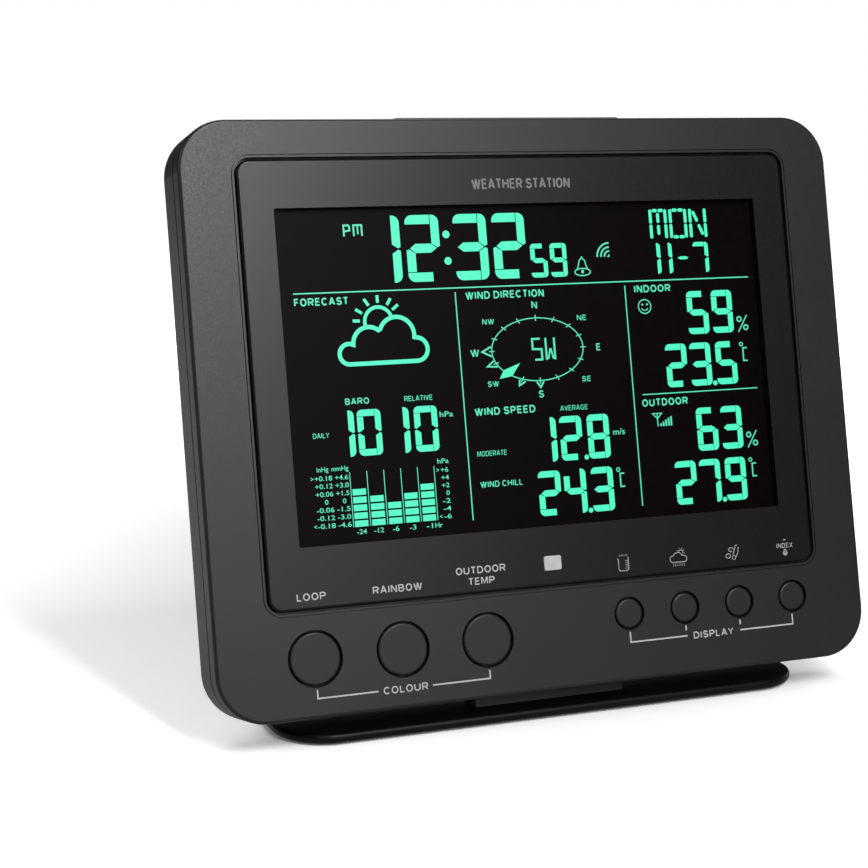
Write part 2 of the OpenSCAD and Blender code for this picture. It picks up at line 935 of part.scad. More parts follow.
// Round button with a rounded front edge, a flange behind the case wall and a switch stem
module round_button(k) {
    flange_y = wall + key_flange_gap;
    stem_end = key_board_front - switch_t + stem_sink;
    color(button_colour)
        in_console()
            translate([k[0], 0, k[1]])
                rotate([-90, 0, 0])
                    rotate_extrude() {
                        edge_profile(k[2], flange_y + eps, button_edge_r, 0);
                        translate([0, flange_y])
                            square([k[2] + cap_flange, key_flange_t]);
                        translate([0, flange_y])
                            square([stem_r, stem_end - flange_y]);
                    }
}

module loop_button() { round_button(large_keys[0]); }
module rainbow_button() { round_button(large_keys[1]); }
module outdoor_button() { round_button(large_keys[2]); }
module rain_button() { round_button(small_keys[0]); }
module forecast_button() { round_button(small_keys[1]); }
module wind_button() { round_button(small_keys[2]); }
module index_button() { round_button(small_keys[3]); }

module snooze_key() {
    cap_low = case_top - wall - key_flange_gap;
    stem_low = snooze_board_z + board_t + switch_t - stem_sink;
    color(button_colour)
        in_console() {
            translate([0, snooze_mid, cap_low - eps])
                slab(snooze_w, snooze_l, snooze_top - cap_low + eps, 2, 0, snooze_edge_r);
            translate([0, snooze_mid, cap_low - key_flange_t])
                linear_extrude(key_flange_t)
                    rounded_rect(snooze_w + 2, snooze_l + 1.4, 1);
            translate([0, snooze_mid, stem_low])
                cylinder(h = cap_low - stem_low, r = stem_r);
        }
}

// Oblong key that stands out of the back, with a flange inside the wall and a switch stem
module rear_key(k) {
    flange_y = back_inner - key_flange_gap;
    stem_end = rear_board_back + switch_t - stem_sink;
    color(button_colour)
        in_console() {
            face_slab(k[0], k[1], flange_y - eps, rear_key_w, rear_key_h,
                back_depth + rear_key_rise - flange_y, 1.4, 0, 0.5);
            plate(k[0], k[1], flange_y - key_flange_t, flange_y, rear_key_w + 2, rear_key_h + 2, 1.4);
            peg(k[0], k[1], stem_end, flange_y - key_flange_t + eps, stem_r);
        }
}

module history_key() { rear_key(rear_keys[0]); }
module alarm_key() { rear_key(rear_keys[1]); }
module alert_key() { rear_key(rear_keys[2]); }
module clock_key() { rear_key(rear_keys[3]); }
module up_key() { rear_key(rear_keys[4]); }
module down_key() { rear_key(rear_keys[5]); }

module slide_knob() {
    color("#d0d0d2")
        in_console() {
            plate(slide_x, knob_z, back_inner - 1, back_depth + 0.8, knob_w, knob_h, 0.5);
            plate(slide_x, knob_z, back_inner - 1.4, back_inner - 0.4, knob_w + 2.4, knob_h + 3, 0.3);
        }
}

module reset_key() {
    color("#d0d0d2")
        in_console() {
            peg(reset_x, rear_key_z, rear_board_back + switch_t - stem_sink, back_depth - 0.8,
                reset_r);
            peg(reset_x, rear_key_z, back_inner - 1.2, back_inner - 0.4, reset_r + 1.2);
        }
}

// ---------- Battery bay and power ----------

module coin_cell() {
    color("#c8cacc")
        in_console() {
            peg(0, cell_z, cell_front + 0.4, cell_front + cell_t, cell_r);
            peg(0, cell_z, cell_front, cell_front + 0.4 + eps, cell_r - 1);
        }
}

module cell_contacts() {
    leaf_t = 0.4;
    color("#d8c890")
        in_console() {
            plate(0, cell_z, bay_floor, bay_floor + leaf_t, 5, 12, 0.5);
            peg(0, cell_z, bay_floor + leaf_t - eps, cell_front, 2);
            span_box([cell_r, cell_r + leaf_t], [bay_floor, cell_front + cell_t + 0.4],
                [cell_z - 3, cell_z + 3]);
        }
}

module cell_leads() {
    color("#b03030")
        in_console()
            for (x = [0, cell_r + 0.2])
                peg(x, cell_z, board_back, bay_floor, 0.5);
}

module battery_door() {
    door_h = door_top_z - door_hinge_z;
    pin_span = door_w + 2 * door_pin_reach;
    color(case_colour)
        in_console()
            difference() {
                union() {
                    span_box([-door_w / 2, door_w / 2], [door_inner, back_depth],
                        [door_hinge_z, door_top_z]);
                    translate([0, door_axis_y, door_hinge_z])
                        rotate([0, 90, 0])
                            cylinder(h = door_w, r = door_knuckle_r, center = true);
                    translate([0, door_axis_y, door_hinge_z])
                        rotate([0, 90, 0])
                            cylinder(h = pin_span, r = door_pin_r, center = true);
                }
                for (i = [0:2])
                    plate(0, door_hinge_z + door_h - 4 - i * 2.4, back_depth - 0.6,
                        back_depth + cut, 12, 1.2, 0.55);
            }
}

// Upright barrel socket on the main board, its mouth just inside the back wall
module power_socket() {
    color("#161616")
        in_console() {
            difference() {
                plate(jack_x, jack_z, board_back, back_inner, 9, 11, 0.5);
                peg(jack_x, jack_z, back_inner - 9.5, back_inner + cut, jack_r);
            }
            peg(jack_x, jack_z, back_inner - 9.5 - eps, back_inner - 1, 1);
        }
}

// ---------- Stand ----------

module stand_plate() {
    depth = stand_rear - stand_front;
    mid_y = (stand_front + stand_rear) / 2 - origin_y;
    color("#1c1c1e")
        difference() {
            translate([0, mid_y, foot_gap])
                slab(stand_w, depth, stand_t, stand_corner, stand_low_r, stand_high_r);
            for (p = foot_places())
                translate([p[0], p[1], foot_gap - cut])
                    cylinder(h = cut + 0.8, r = foot_r + 0.2);
            for (x = stand_screws_x)
                translate([x, stand_screw_y - origin_y, 0]) {
                    cylinder(h = plate_top + cut, r = stand_screw_r + 0.15);
                    cylinder(h = foot_gap + 1.5, r = stand_head_r + 0.2);
                }
        }
}

function foot_places() = [for (sx = [-1, 1], y = [stand_front + 11, stand_rear - 11])
    [sx * (stand_w / 2 - 11), y - origin_y]];

// Tilted block that carries the console; its lower end is cut level to sit on the plate
module stand_riser() {
    reach = 14;
    color(case_colour)
        difference() {
            in_console()
                translate([0, riser_mid, -reach])
                    linear_extrude(reach + riser_top)
                        rounded_rect(riser_w, riser_t, 1.5);
            translate([-riser_w, -origin_y, plate_top - 2 * reach])
                cube([2 * riser_w, 2 * reach + riser_t, 2 * reach]);
            for (x = stand_screws_x)
                translate([x, stand_screw_y - origin_y, plate_top - cut])
                    cylinder(h = 7.5 + cut, r = stand_screw_r + 0.1);
        }
}

module stand_screws() {
    color(metal_colour)
        for (x = stand_screws_x)
            translate([x, stand_screw_y - origin_y, foot_gap + 0.3])
                difference() {
                    union() {
                        cylinder(h = 1.2, r = stand_head_r);
                        cylinder(h = 8.5, r = stand_screw_r);
                    }
                    for (turn = [0, 90])
                        rotate([0, 0, turn])
                            cube([stand_head_r * 1.2, 0.7, 1.2], center = true);
                }
}

module rubber_feet() {
    color("#0e0e0e")
        for (p = foot_places())
            translate([p[0], p[1], 0])
                cylinder(h = foot_gap + 0.8, r = foot_r);
}

front_shell();
bezel_panel();
rear_shell();
case_screws();
lcd_polariser();
lcd_glass();
diffuser_sheet();
light_guide();
reflector_sheet();
backlight_leds();
led_strips();
lcd_frame();
zebra_strips();
main_board();
controller_chip();
driver_chips();
wifi_module();
radio_module();
antenna_wire();
capacitors();
buzzer();
board_header();
key_board();
key_ribbon();
front_switches();
rear_board();
rear_switches();
slide_switch();
snooze_board();
snooze_switch();
climate_sensor();
sensor_lead();
board_screws();
alert_led();
alert_lens();
loop_button();
rainbow_button();
outdoor_button();
rain_button();
forecast_button();
wind_button();
index_button();
snooze_key();
history_key();
alarm_key();
alert_key();
clock_key();
up_key();
down_key();
slide_knob();
reset_key();
coin_cell();
cell_contacts();
cell_leads();
battery_door();
power_socket();
stand_plate();
stand_riser();
stand_screws();
rubber_feet();
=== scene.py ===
"""Looks of the home weather station: display content, printed legends, materials, light and camera."""

import json
import math

import bpy
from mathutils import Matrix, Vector


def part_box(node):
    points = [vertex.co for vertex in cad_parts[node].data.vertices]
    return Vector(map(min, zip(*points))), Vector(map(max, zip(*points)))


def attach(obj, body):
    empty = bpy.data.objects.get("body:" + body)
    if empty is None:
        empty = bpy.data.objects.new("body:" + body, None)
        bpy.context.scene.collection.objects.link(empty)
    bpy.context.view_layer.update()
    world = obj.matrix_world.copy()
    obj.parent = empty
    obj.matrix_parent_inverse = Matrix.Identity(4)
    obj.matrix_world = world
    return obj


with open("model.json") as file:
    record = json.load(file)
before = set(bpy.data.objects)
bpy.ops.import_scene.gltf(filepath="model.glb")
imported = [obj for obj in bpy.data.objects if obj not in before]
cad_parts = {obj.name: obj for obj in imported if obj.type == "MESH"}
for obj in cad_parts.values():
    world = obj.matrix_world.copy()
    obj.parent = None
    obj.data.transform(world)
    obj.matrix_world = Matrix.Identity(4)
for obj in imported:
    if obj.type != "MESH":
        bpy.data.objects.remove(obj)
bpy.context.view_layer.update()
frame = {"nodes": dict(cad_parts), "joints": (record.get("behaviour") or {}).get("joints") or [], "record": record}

MM = 0.001

# ---------- The console's own frame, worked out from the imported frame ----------

JOINTS = {joint["name"]: joint for joint in frame["joints"]}
UP = Vector(JOINTS["console_lift"]["axis"])
INTO = Vector((0, UP.z, -UP.y))
RIGHT = Vector((1, 0, 0))

# The display film's centre in the console frame: sideways, depth and height, in millimetres
FILM_X = -0.25
FILM_DEPTH = 2.3
FILM_T = 0.2
FILM_Z = 92.0
film_low, film_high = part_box("lcd_polariser")
film_centre = (film_low + film_high) / 2
ORIGIN = film_centre - MM * (
    RIGHT * FILM_X + INTO * (FILM_DEPTH + FILM_T / 2) + UP * FILM_Z)


def place(u, v, depth):
    """Point of the shared frame for a place on the console's face or behind it, given in millimetres."""
    return ORIGIN + MM * (RIGHT * u + UP * v + INTO * depth)


# ---------- Node materials ----------

# Scales of the patterns, in cells per metre
SLOW_CLOUD = 28
COAT_CLOUD = 600
CLEAR_CLOUD = 800
BOARD_CLOUD = 900
BOARD_TRACKS = 320
RUBBER_GRAIN = 1500
MOULD_GRAIN = 2200
INK_GRAIN = 2500
FINE_GRAIN = 2600
SCRATCHES = 3000
CHIP_GRAIN = 4000
CELL_GRAIN = 5000


def new_material(name):
    """Empty node material with one Principled shader; returns the material, its tree and the shader."""
    material = bpy.data.materials.new(name)
    material.use_nodes = True
    tree = material.node_tree
    shader = tree.nodes["Principled BSDF"]
    return material, tree, shader


def noise(tree, scale, detail, roughness=0.55):
    """Noise over the piece's own coordinates, so that it stays put when the piece moves."""
    coords = tree.nodes.new("ShaderNodeTexCoord")
    texture = tree.nodes.new("ShaderNodeTexNoise")
    texture.inputs["Scale"].default_value = scale
    texture.inputs["Detail"].default_value = detail
    texture.inputs["Roughness"].default_value = roughness
    tree.links.new(coords.outputs["Object"], texture.inputs["Vector"])
    return texture.outputs["Fac"]


def remap(tree, value, low, high, start=0.3, end=0.7):
    """Spreads a value, such as noise, between two numbers."""
    node = tree.nodes.new("ShaderNodeMapRange")
    node.inputs["From Min"].default_value = start
    node.inputs["From Max"].default_value = end
    node.inputs["To Min"].default_value = low
    node.inputs["To Max"].default_value = high
    tree.links.new(value, node.inputs["Value"])
    return node.outputs["Result"]


def mix_colours(tree, factor, first, second):
    """Colour between two, chosen by a factor."""
    node = tree.nodes.new("ShaderNodeMix")
    node.data_type = "RGBA"
    node.inputs["A"].default_value = (*first, 1)
    node.inputs["B"].default_value = (*second, 1)
    tree.links.new(factor, node.inputs["Factor"])
    return node.outputs["Result"]


def bump(tree, shader, height, strength, distance):
    """Surface relief from a height value; the distance is in metres."""
    node = tree.nodes.new("ShaderNodeBump")
    node.inputs["Strength"].default_value = strength
    node.inputs["Distance"].default_value = distance
    tree.links.new(height, node.inputs["Height"])
    tree.links.new(node.outputs["Normal"], shader.inputs["Normal"])


def scaled(colour, factor):
    """Lighter or darker colour, no part of it above 1."""
    return tuple(min(1.0, c * factor) for c in colour)


def toned(tree, shader, pattern, first, second):
    """Base colour that wanders between two tones with a pattern."""
    tone = mix_colours(tree, remap(tree, pattern, 0, 1), first, second)
    tree.links.new(tone, shader.inputs["Base Color"])


def glossed(tree, shader, pattern, low, high):
    """Roughness that wanders between two values with a pattern."""
    tree.links.new(remap(tree, pattern, low, high), shader.inputs["Roughness"])


def moulded(name, colour, roughness, grain=MOULD_GRAIN, depth=0.00003, spread=0.12, specular=0.5):
    """Moulded plastic: a fine spark-eroded grain, with slow changes of tone and gloss."""
    material, tree, shader = new_material(name)
    toned(tree, shader, noise(tree, SLOW_CLOUD, 3), scaled(colour, 1 - spread), scaled(colour, 1 + spread))
    fine = noise(tree, grain, 2)
    glossed(tree, shader, fine, roughness - 0.05, roughness + 0.05)
    shader.inputs["Specular IOR Level"].default_value = specular
    bump(tree, shader, fine, 0.35, depth)
    return material


def polished(name, colour, roughness, coat=0.0, specular=0.5):
    """Smooth moulded or coated surface with a faint unevenness."""
    material, tree, shader = new_material(name)
    cloud = noise(tree, COAT_CLOUD, 2)
    toned(tree, shader, cloud, scaled(colour, 0.94), scaled(colour, 1.06))
    glossed(tree, shader, cloud, roughness, roughness + 0.06)
    shader.inputs["Coat Weight"].default_value = coat
    shader.inputs["Specular IOR Level"].default_value = specular
    return material


def metal(name, colour, roughness):
    """Plated or drawn metal with fine scratches."""
    material, tree, shader = new_material(name)
    shader.inputs["Metallic"].default_value = 1
    fine = noise(tree, SCRATCHES, 4, 0.7)
    toned(tree, shader, fine, scaled(colour, 0.85), scaled(colour, 1.1))
    glossed(tree, shader, fine, roughness - 0.06, roughness + 0.1)
    bump(tree, shader, fine, 0.15, 0.00001)
    return material


def rubber(name, colour):
    """Matt rubber with a coarse grain."""
    material, tree, shader = new_material(name)
    fine = noise(tree, RUBBER_GRAIN, 4, 0.7)
    toned(tree, shader, fine, scaled(colour, 0.8), scaled(colour, 1.2))
    glossed(tree, shader, fine, 0.7, 0.9)
    bump(tree, shader, fine, 0.4, 0.00004)
    return material


def laminate(name, mask, copper):
    """Circuit board: solder mask over a faint maze of tracks."""
    material, tree, shader = new_material(name)
    coords = tree.nodes.new("ShaderNodeTexCoord")
    bricks = tree.nodes.new("ShaderNodeTexBrick")
    bricks.inputs["Scale"].default_value = BOARD_TRACKS
    bricks.inputs["Color1"].default_value = (*mask, 1)
    bricks.inputs["Color2"].default_value = (*scaled(mask, 0.7), 1)
    bricks.inputs["Mortar"].default_value = (*copper, 1)
    bricks.inputs["Mortar Size"].default_value = 0.03
    tree.links.new(coords.outputs["Object"], bricks.inputs["Vector"])
    tree.links.new(bricks.outputs["Color"], shader.inputs["Base Color"])
    glossed(tree, shader, noise(tree, BOARD_CLOUD, 2), 0.25, 0.4)
    return material


def glowing(name, colour, strength):
    """Lit display segment: even light with a faint cell-like unevenness in its dark body."""
    material, tree, shader = new_material(name)
    toned(tree, shader, noise(tree, CELL_GRAIN, 1), DARK_CELL, scaled(DARK_CELL, 1.5))
    shader.inputs["Roughness"].default_value = 0.4
    shader.inputs["Emission Color"].default_value = (*colour, 1)
    shader.inputs["Emission Strength"].default_value = strength
    return material


def printed(name, colour):
    """Pad-printed ink: matt, slightly uneven in density."""
    material, tree, shader = new_material(name)
    cloud = noise(tree, INK_GRAIN, 3)
    toned(tree, shader, cloud, scaled(colour, 0.88), scaled(colour, 1.08))
    glossed(tree, shader, cloud, 0.5, 0.62)
    return material


def clear(name, colour, roughness, alpha):
    """Clear or frosted moulding, as a tinted see-through surface."""
    material, tree, shader = new_material(name)
    cloud = noise(tree, CLEAR_CLOUD, 2)
    toned(tree, shader, cloud, scaled(colour, 0.95), scaled(colour, 1.05))
    glossed(tree, shader, cloud, roughness, roughness + 0.05)
    shader.inputs["Alpha"].default_value = alpha
    return material


CASE_GREY = (0.0145, 0.0145, 0.0147)
BEZEL_GREY = (0.0046, 0.0046, 0.0048)
BUTTON_GREY = (0.0115, 0.0115, 0.0117)
STAND_GREY = (0.0028, 0.0028, 0.0029)
CHIP_GREY = (0.018, 0.018, 0.018)
DARK_CELL = (0.02, 0.02, 0.02)

MATERIALS = {
    "case_plastic": moulded("case_plastic", CASE_GREY, 0.39),
    "bezel_plastic": moulded("bezel_plastic", BEZEL_GREY, 0.33, grain=FINE_GRAIN, depth=0.00002,
                             specular=0.38),
    "button_plastic": moulded("button_plastic", BUTTON_GREY, 0.44, grain=FINE_GRAIN, depth=0.00002),
    "stand_plastic": moulded("stand_plastic", STAND_GREY, 0.4, depth=0.00001, specular=0.2),
    "screw_steel": metal("screw_steel", (0.42, 0.42, 0.44), 0.34),
    "polariser_film": polished("polariser_film", (0.0026, 0.0011, 0.0016), 0.34, specular=0.05),
    "display_glass": polished("display_glass", (0.01, 0.013, 0.014), 0.08, coat=0.3),
    "white_film": moulded("white_film", (0.85, 0.85, 0.83), 0.6, spread=0.02),
    "clear_plastic": clear("clear_plastic", (0.7, 0.85, 0.82), 0.15, 0.7),
    "led_plastic": clear("led_plastic", (0.9, 0.82, 0.35), 0.2, 0.9),
    "board_laminate": laminate("board_laminate", (0.012, 0.09, 0.035), (0.05, 0.2, 0.07)),
    "module_laminate": laminate("module_laminate", (0.01, 0.04, 0.12), (0.05, 0.12, 0.25)),
    "white_plastic": moulded("white_plastic", (0.78, 0.78, 0.76), 0.5, spread=0.02),
    "contact_rubber": rubber("contact_rubber", (0.55, 0.2, 0.25)),
    "chip_plastic": moulded("chip_plastic", CHIP_GREY, 0.5, grain=CHIP_GRAIN, depth=0.00001),
    "shield_steel": metal("shield_steel", (0.58, 0.58, 0.6), 0.3),
    "antenna_copper": metal("antenna_copper", (0.72, 0.36, 0.18), 0.3),
    "ribbon_plastic": moulded("ribbon_plastic", (0.62, 0.62, 0.65), 0.4, spread=0.04),
    "lead_plastic": polished("lead_plastic", (0.35, 0.04, 0.04), 0.35),
    "lens_plastic": polished("lens_plastic", (0.62, 0.62, 0.63), 0.35),
    "knob_plastic": moulded("knob_plastic", (0.5, 0.5, 0.52), 0.4, spread=0.03),
    "cell_steel": metal("cell_steel", (0.6, 0.6, 0.61), 0.25),
    "contact_brass": metal("contact_brass", (0.7, 0.55, 0.28), 0.3),
    "foot_rubber": rubber("foot_rubber", (0.01, 0.01, 0.01)),
}
SEGMENT_GLOW = glowing("segment_glow", (0.05, 0.93, 0.54), 1.0)
LABEL_GLOW = glowing("label_glow", (0.075, 0.84, 0.52), 0.9)
LEGEND_INK = printed("legend_ink", (0.62, 0.62, 0.63))
ICON_INK = printed("icon_ink", (0.42, 0.42, 0.43))
NAME_INK = printed("name_ink", (0.24, 0.24, 0.245))

for part in frame["record"]["subparts"]:
    node_object = frame["nodes"][part["node"]]
    node_object.data.materials.clear()
    node_object.data.materials.append(MATERIALS[part["material_slot"]])


# ---------- Flat printed and lit shapes ----------

class Ink:
    """Thin flat shapes on a plane of the console, gathered into one mesh. Sizes are in millimetres."""

    def __init__(self, name, material, depth, thickness, body="console", faces_back=False):
        self.name = name
        self.material = material
        self.depth = depth
        self.thickness = thickness
        self.body = body
        self.outward = 1 if faces_back else -1
        self.vertices = []
        self.faces = []

    def at(self, u, v, height):
        """Point at a height above the piece's plane."""
        return place(u, v, self.depth + self.outward * height)

    def plate(self, points):
        """Closed plate with this outline."""
        count = len(points)
        first = len(self.vertices)
        for height in (0, self.thickness):
            self.vertices += [self.at(u, v, height) for u, v in points]
        area = sum(points[i - 1][0] * points[i][1] - points[i][0] * points[i - 1][1] for i in range(count))
        order = list(range(count))
        if (area > 0) == (self.outward > 0):
            order.reverse()
        top = [first + count + i for i in order]
        bottom = [first + i for i in reversed(order)]
        self.faces += [top, bottom]
        for i in range(count):
            here, after = order[i], order[(i + 1) % count]
            self.faces.append([first + here, first + after, first + count + after, first + count + here])

    def box(self, left, right, low, high):
        """Upright rectangle."""
        self.plate([(left, low), (right, low), (right, high), (left, high)])

    def disc(self, u, v, radius, steps=24):
        """Round plate."""
        self.plate(arc(u, v, radius, 0, 360, steps)[:-1])

    def stroke(self, points, width, closed=False, sharpness=2.5):
        """Band of an even width along the points, with mitred corners."""
        left, right = [], []
        count = len(points)
        for i, point in enumerate(points):
            before = points[i - 1] if (i > 0 or closed) else None
            after = points[(i + 1) % count] if (i < count - 1 or closed) else None
            normal = mitre(before, point, after, sharpness)
            left.append((point[0] + normal[0] * width / 2, point[1] + normal[1] * width / 2))
            right.append((point[0] - normal[0] * width / 2, point[1] - normal[1] * width / 2))
        self.strip(left, right, closed)

    def strip(self, left, right, closed):
        """Solid band between two rows of points."""
        count = len(left)
        first = len(self.vertices)
        for height in (0, self.thickness):
            self.vertices += [self.at(u, v, height) for u, v in left]
            self.vertices += [self.at(u, v, height) for u, v in right]
        low_left, low_right = first, first + count
        top_left, top_right = first + 2 * count, first + 3 * count
        last = count if closed else count - 1
        quads = []
        for i in range(last):
            j = (i + 1) % count
            quads.append([top_left + i, top_left + j, top_right + j, top_right + i])
            quads.append([low_left + j, low_left + i, low_right + i, low_right + j])
            quads.append([low_left + i, low_left + j, top_left + j, top_left + i])
            quads.append([low_right + j, low_right + i, top_right + i, top_right + j])
        if not closed:
            end = count - 1
            quads.append([low_left, top_left, top_right, low_right])
            quads.append([low_left + end, low_right + end, top_right + end, top_left + end])
        if self.outward < 0:
            quads = [list(reversed(quad)) for quad in quads]
        self.faces += quads

    def text(self, words, left, right, base, cap, weight=0.14, turn=1):
        """Lettering that fills the width from left to right, its capitals as high as cap."""
        if set(words) <= set(CAPITALS) | {" "}:
            strokes, total = capitals(words, weight)
            wide = (right - left) / total
            for points, closed in strokes:
                spots = [(turn * (left + x * wide), base + y * cap) for x, y in points]
                self.stroke(spots, weight * cap, closed, LETTER_SHARPNESS)
            return
        mesh, low, high = text_mesh(words)
        wide = (right - left) / (high - low)
        tall = cap / capital_height()
        first = len(self.vertices)
        for vertex in mesh.vertices:
            lift = self.thickness if vertex.co.z > 0 else 0
            across = left + (vertex.co.x - low) * wide
            self.vertices.append(self.at(turn * across, base + vertex.co.y * tall, lift))
        for face in mesh.polygons:
            corners = [first + i for i in face.vertices]
            if (self.outward > 0) == (turn > 0):
                corners.reverse()
            self.faces.append(corners)
        bpy.data.meshes.remove(mesh)

    def finish(self):
        """Makes the piece, which rides on its body and carries the material it was given."""
        mesh = bpy.data.meshes.new(self.name)
        mesh.from_pydata([tuple(p) for p in self.vertices], [], self.faces)
        mesh.materials.append(self.material)
        mesh.update()
        piece = bpy.data.objects.new(self.name, mesh)
        bpy.context.scene.collection.objects.link(piece)
        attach(piece, self.body)


def arc(u, v, radius, start, end, steps=16, squash=1.0):
    """Points on a round or flattened arc, angles in degrees anticlockwise from the right."""
    angles = [math.radians(start + (end - start) * i / steps) for i in range(steps + 1)]
    return [(u + radius * math.cos(a), v + radius * squash * math.sin(a)) for a in angles]


def mitre(before, point, after, sharpness):
    """Sideways direction of a band at a point, longer where the band bends."""
    directions = []
    for start, end in ((before, point), (point, after)):
        if start is not None and end is not None:
            dx, dy = end[0] - start[0], end[1] - start[1]
            length = math.hypot(dx, dy)
            directions.append((-dy / length, dx / length))
    nx = sum(d[0] for d in directions)
    ny = sum(d[1] for d in directions)
    length = math.hypot(nx, ny)
    nx, ny = nx / length, ny / length
    stretch = 1 / max(1 / sharpness, nx * directions[0][0] + ny * directions[0][1])
    return nx * stretch, ny * stretch


# Stroke lettering, in units of a capital's height; a corner's mitre is at most LETTER_SHARPNESS long
LETTER_SHARPNESS = 1.2
LETTER_GAP = 0.13
SPACE_W = 0.3
SAME_SPOT = 0.001


def bowl(x, y, wide, high, start, end, steps=10):
    """Arc of a letter, in a box one unit wide and one high."""
    angles = [math.radians(start + (end - start) * i / steps) for i in range(steps + 1)]
    return [(x + wide * math.cos(a), y + high * math.sin(a)) for a in angles]


OPEN_ROUND = bowl(0.5, 0.5, 0.5, 0.5, 42, 318, 18)
LOOP_TOP = [(0, 0), (0, 1), (0.6, 1)] + bowl(0.6, 0.73, 0.4, 0.27, 90, -90)[1:] + [(0, 0.46)]

# Each capital: its width against its height, then its strokes
CAPITALS = {
    "A": (0.78, [(0, 0), (0.46, 1), (0.54, 1), (1, 0)], [(0.2, 0.3), (0.8, 0.3)]),
    "B": (0.72, [(0, 0), (0, 1), (0.58, 1)] + bowl(0.58, 0.76, 0.34, 0.24, 90, -90) + [(0, 0.52)],
          [(0.5, 0.52)] + bowl(0.6, 0.26, 0.4, 0.26, 90, -90) + [(0, 0)]),
    "C": (0.76, OPEN_ROUND),
    "D": (0.76, [(0, 0), (0, 1), (0.42, 1)] + bowl(0.42, 0.5, 0.58, 0.5, 90, -90, 14)[1:] + [(0, 0)]),
    "E": (0.64, [(1, 1), (0, 1), (0, 0), (1, 0)], [(0, 0.52), (0.92, 0.52)]),
    "F": (0.6, [(1, 1), (0, 1), (0, 0)], [(0, 0.5), (0.88, 0.5)]),
    "G": (0.8, OPEN_ROUND + [(0.95, 0.18), (0.95, 0.46), (0.58, 0.46)]),
    "H": (0.74, [(0, 0), (0, 1)], [(1, 0), (1, 1)], [(0, 0.52), (1, 0.52)]),
    "I": (0.2, [(0.5, 0), (0.5, 1)]),
    "K": (0.74, [(0, 0), (0, 1)], [(0.95, 1), (0.02, 0.36)], [(0.35, 0.6), (1, 0)]),
    "L": (0.58, [(0, 1), (0, 0), (1, 0)]),
    "M": (0.86, [(0, 0), (0, 1), (0.12, 1), (0.5, 0.05), (0.88, 1), (1, 1), (1, 0)]),
    "N": (0.74, [(0, 0), (0, 1), (0.08, 1), (0.92, 0), (1, 0), (1, 1)]),
    "O": (0.8, bowl(0.5, 0.5, 0.5, 0.5, 0, 360, 24)),
    "P": (0.7, LOOP_TOP),
    "R": (0.74, LOOP_TOP, [(0.55, 0.46), (0.96, 0)]),
    "S": (0.7, bowl(0.5, 0.75, 0.46, 0.25, 15, 262) + bowl(0.5, 0.26, 0.5, 0.26, 82, -165)),
    "T": (0.66, [(0, 1), (1, 1)], [(0.5, 1), (0.5, 0)]),
    "U": (0.74, [(0, 1), (0, 0.34)] + bowl(0.5, 0.32, 0.5, 0.32, 180, 360, 12) + [(1, 1)]),
    "V": (0.72, [(0, 1), (0.46, 0), (0.54, 0), (1, 1)]),
    "W": (1.04, [(0, 1), (0.25, 0), (0.29, 0), (0.48, 1), (0.52, 1), (0.71, 0), (0.75, 0), (1, 1)]),
    "X": (0.72, [(0, 0), (1, 1)], [(0, 1), (1, 0)]),
    "Y": (0.72, [(0, 1), (0.5, 0.46), (1, 1)], [(0.5, 0.46), (0.5, 0)]),
}


def capitals(words, weight):
    """Centre lines of a line of capitals one unit high, and the line's width."""
    strokes = []
    start = 0
    for sign in words:
        if sign == " ":
            start += SPACE_W
            continue
        wide, *lines = CAPITALS[sign]
        for line in lines:
            closed = math.dist(line[0], line[-1]) < SAME_SPOT
            points = [line[0]] + [spot for before, spot in zip(line, line[1:])
                                  if math.dist(before, spot) > SAME_SPOT]
            if closed:
                points.pop()
            inner_w, inner_h = wide - weight, 1 - weight
            strokes.append(([(start + weight / 2 + x * inner_w, weight / 2 + y * inner_h)
                             for x, y in points], closed))
        start += wide + LETTER_GAP
    return strokes, start - LETTER_GAP


def text_mesh(words):
    """Solid lettering as a mesh, with its lowest and highest x."""
    curve = bpy.data.curves.new("lettering", "FONT")
    curve.body = words
    curve.extrude = 0.01
    curve.offset = 0.008
    curve.resolution_u = 4
    holder = bpy.data.objects.new("lettering", curve)
    bpy.context.scene.collection.objects.link(holder)
    graph = bpy.context.evaluated_depsgraph_get()
    mesh = bpy.data.meshes.new_from_object(holder.evaluated_get(graph))
    bpy.data.objects.remove(holder)
    bpy.data.curves.remove(curve)
    across = [vertex.co.x for vertex in mesh.vertices]
    return mesh, min(across), max(across)


def capital_height():
    """Height of a capital letter of the built-in lettering."""
    mesh, _, _ = text_mesh("H")
    height = max(vertex.co.y for vertex in mesh.vertices)
    bpy.data.meshes.remove(mesh)
    return height


# ---------- Seven-segment digits ----------

LIT = {"0": "abcdef", "1": "bc", "2": "abged", "3": "abgcd", "4": "fgbc", "5": "afgcd",
       "6": "afgedc", "7": "abc", "8": "abcdefg", "9": "abcdfg"}


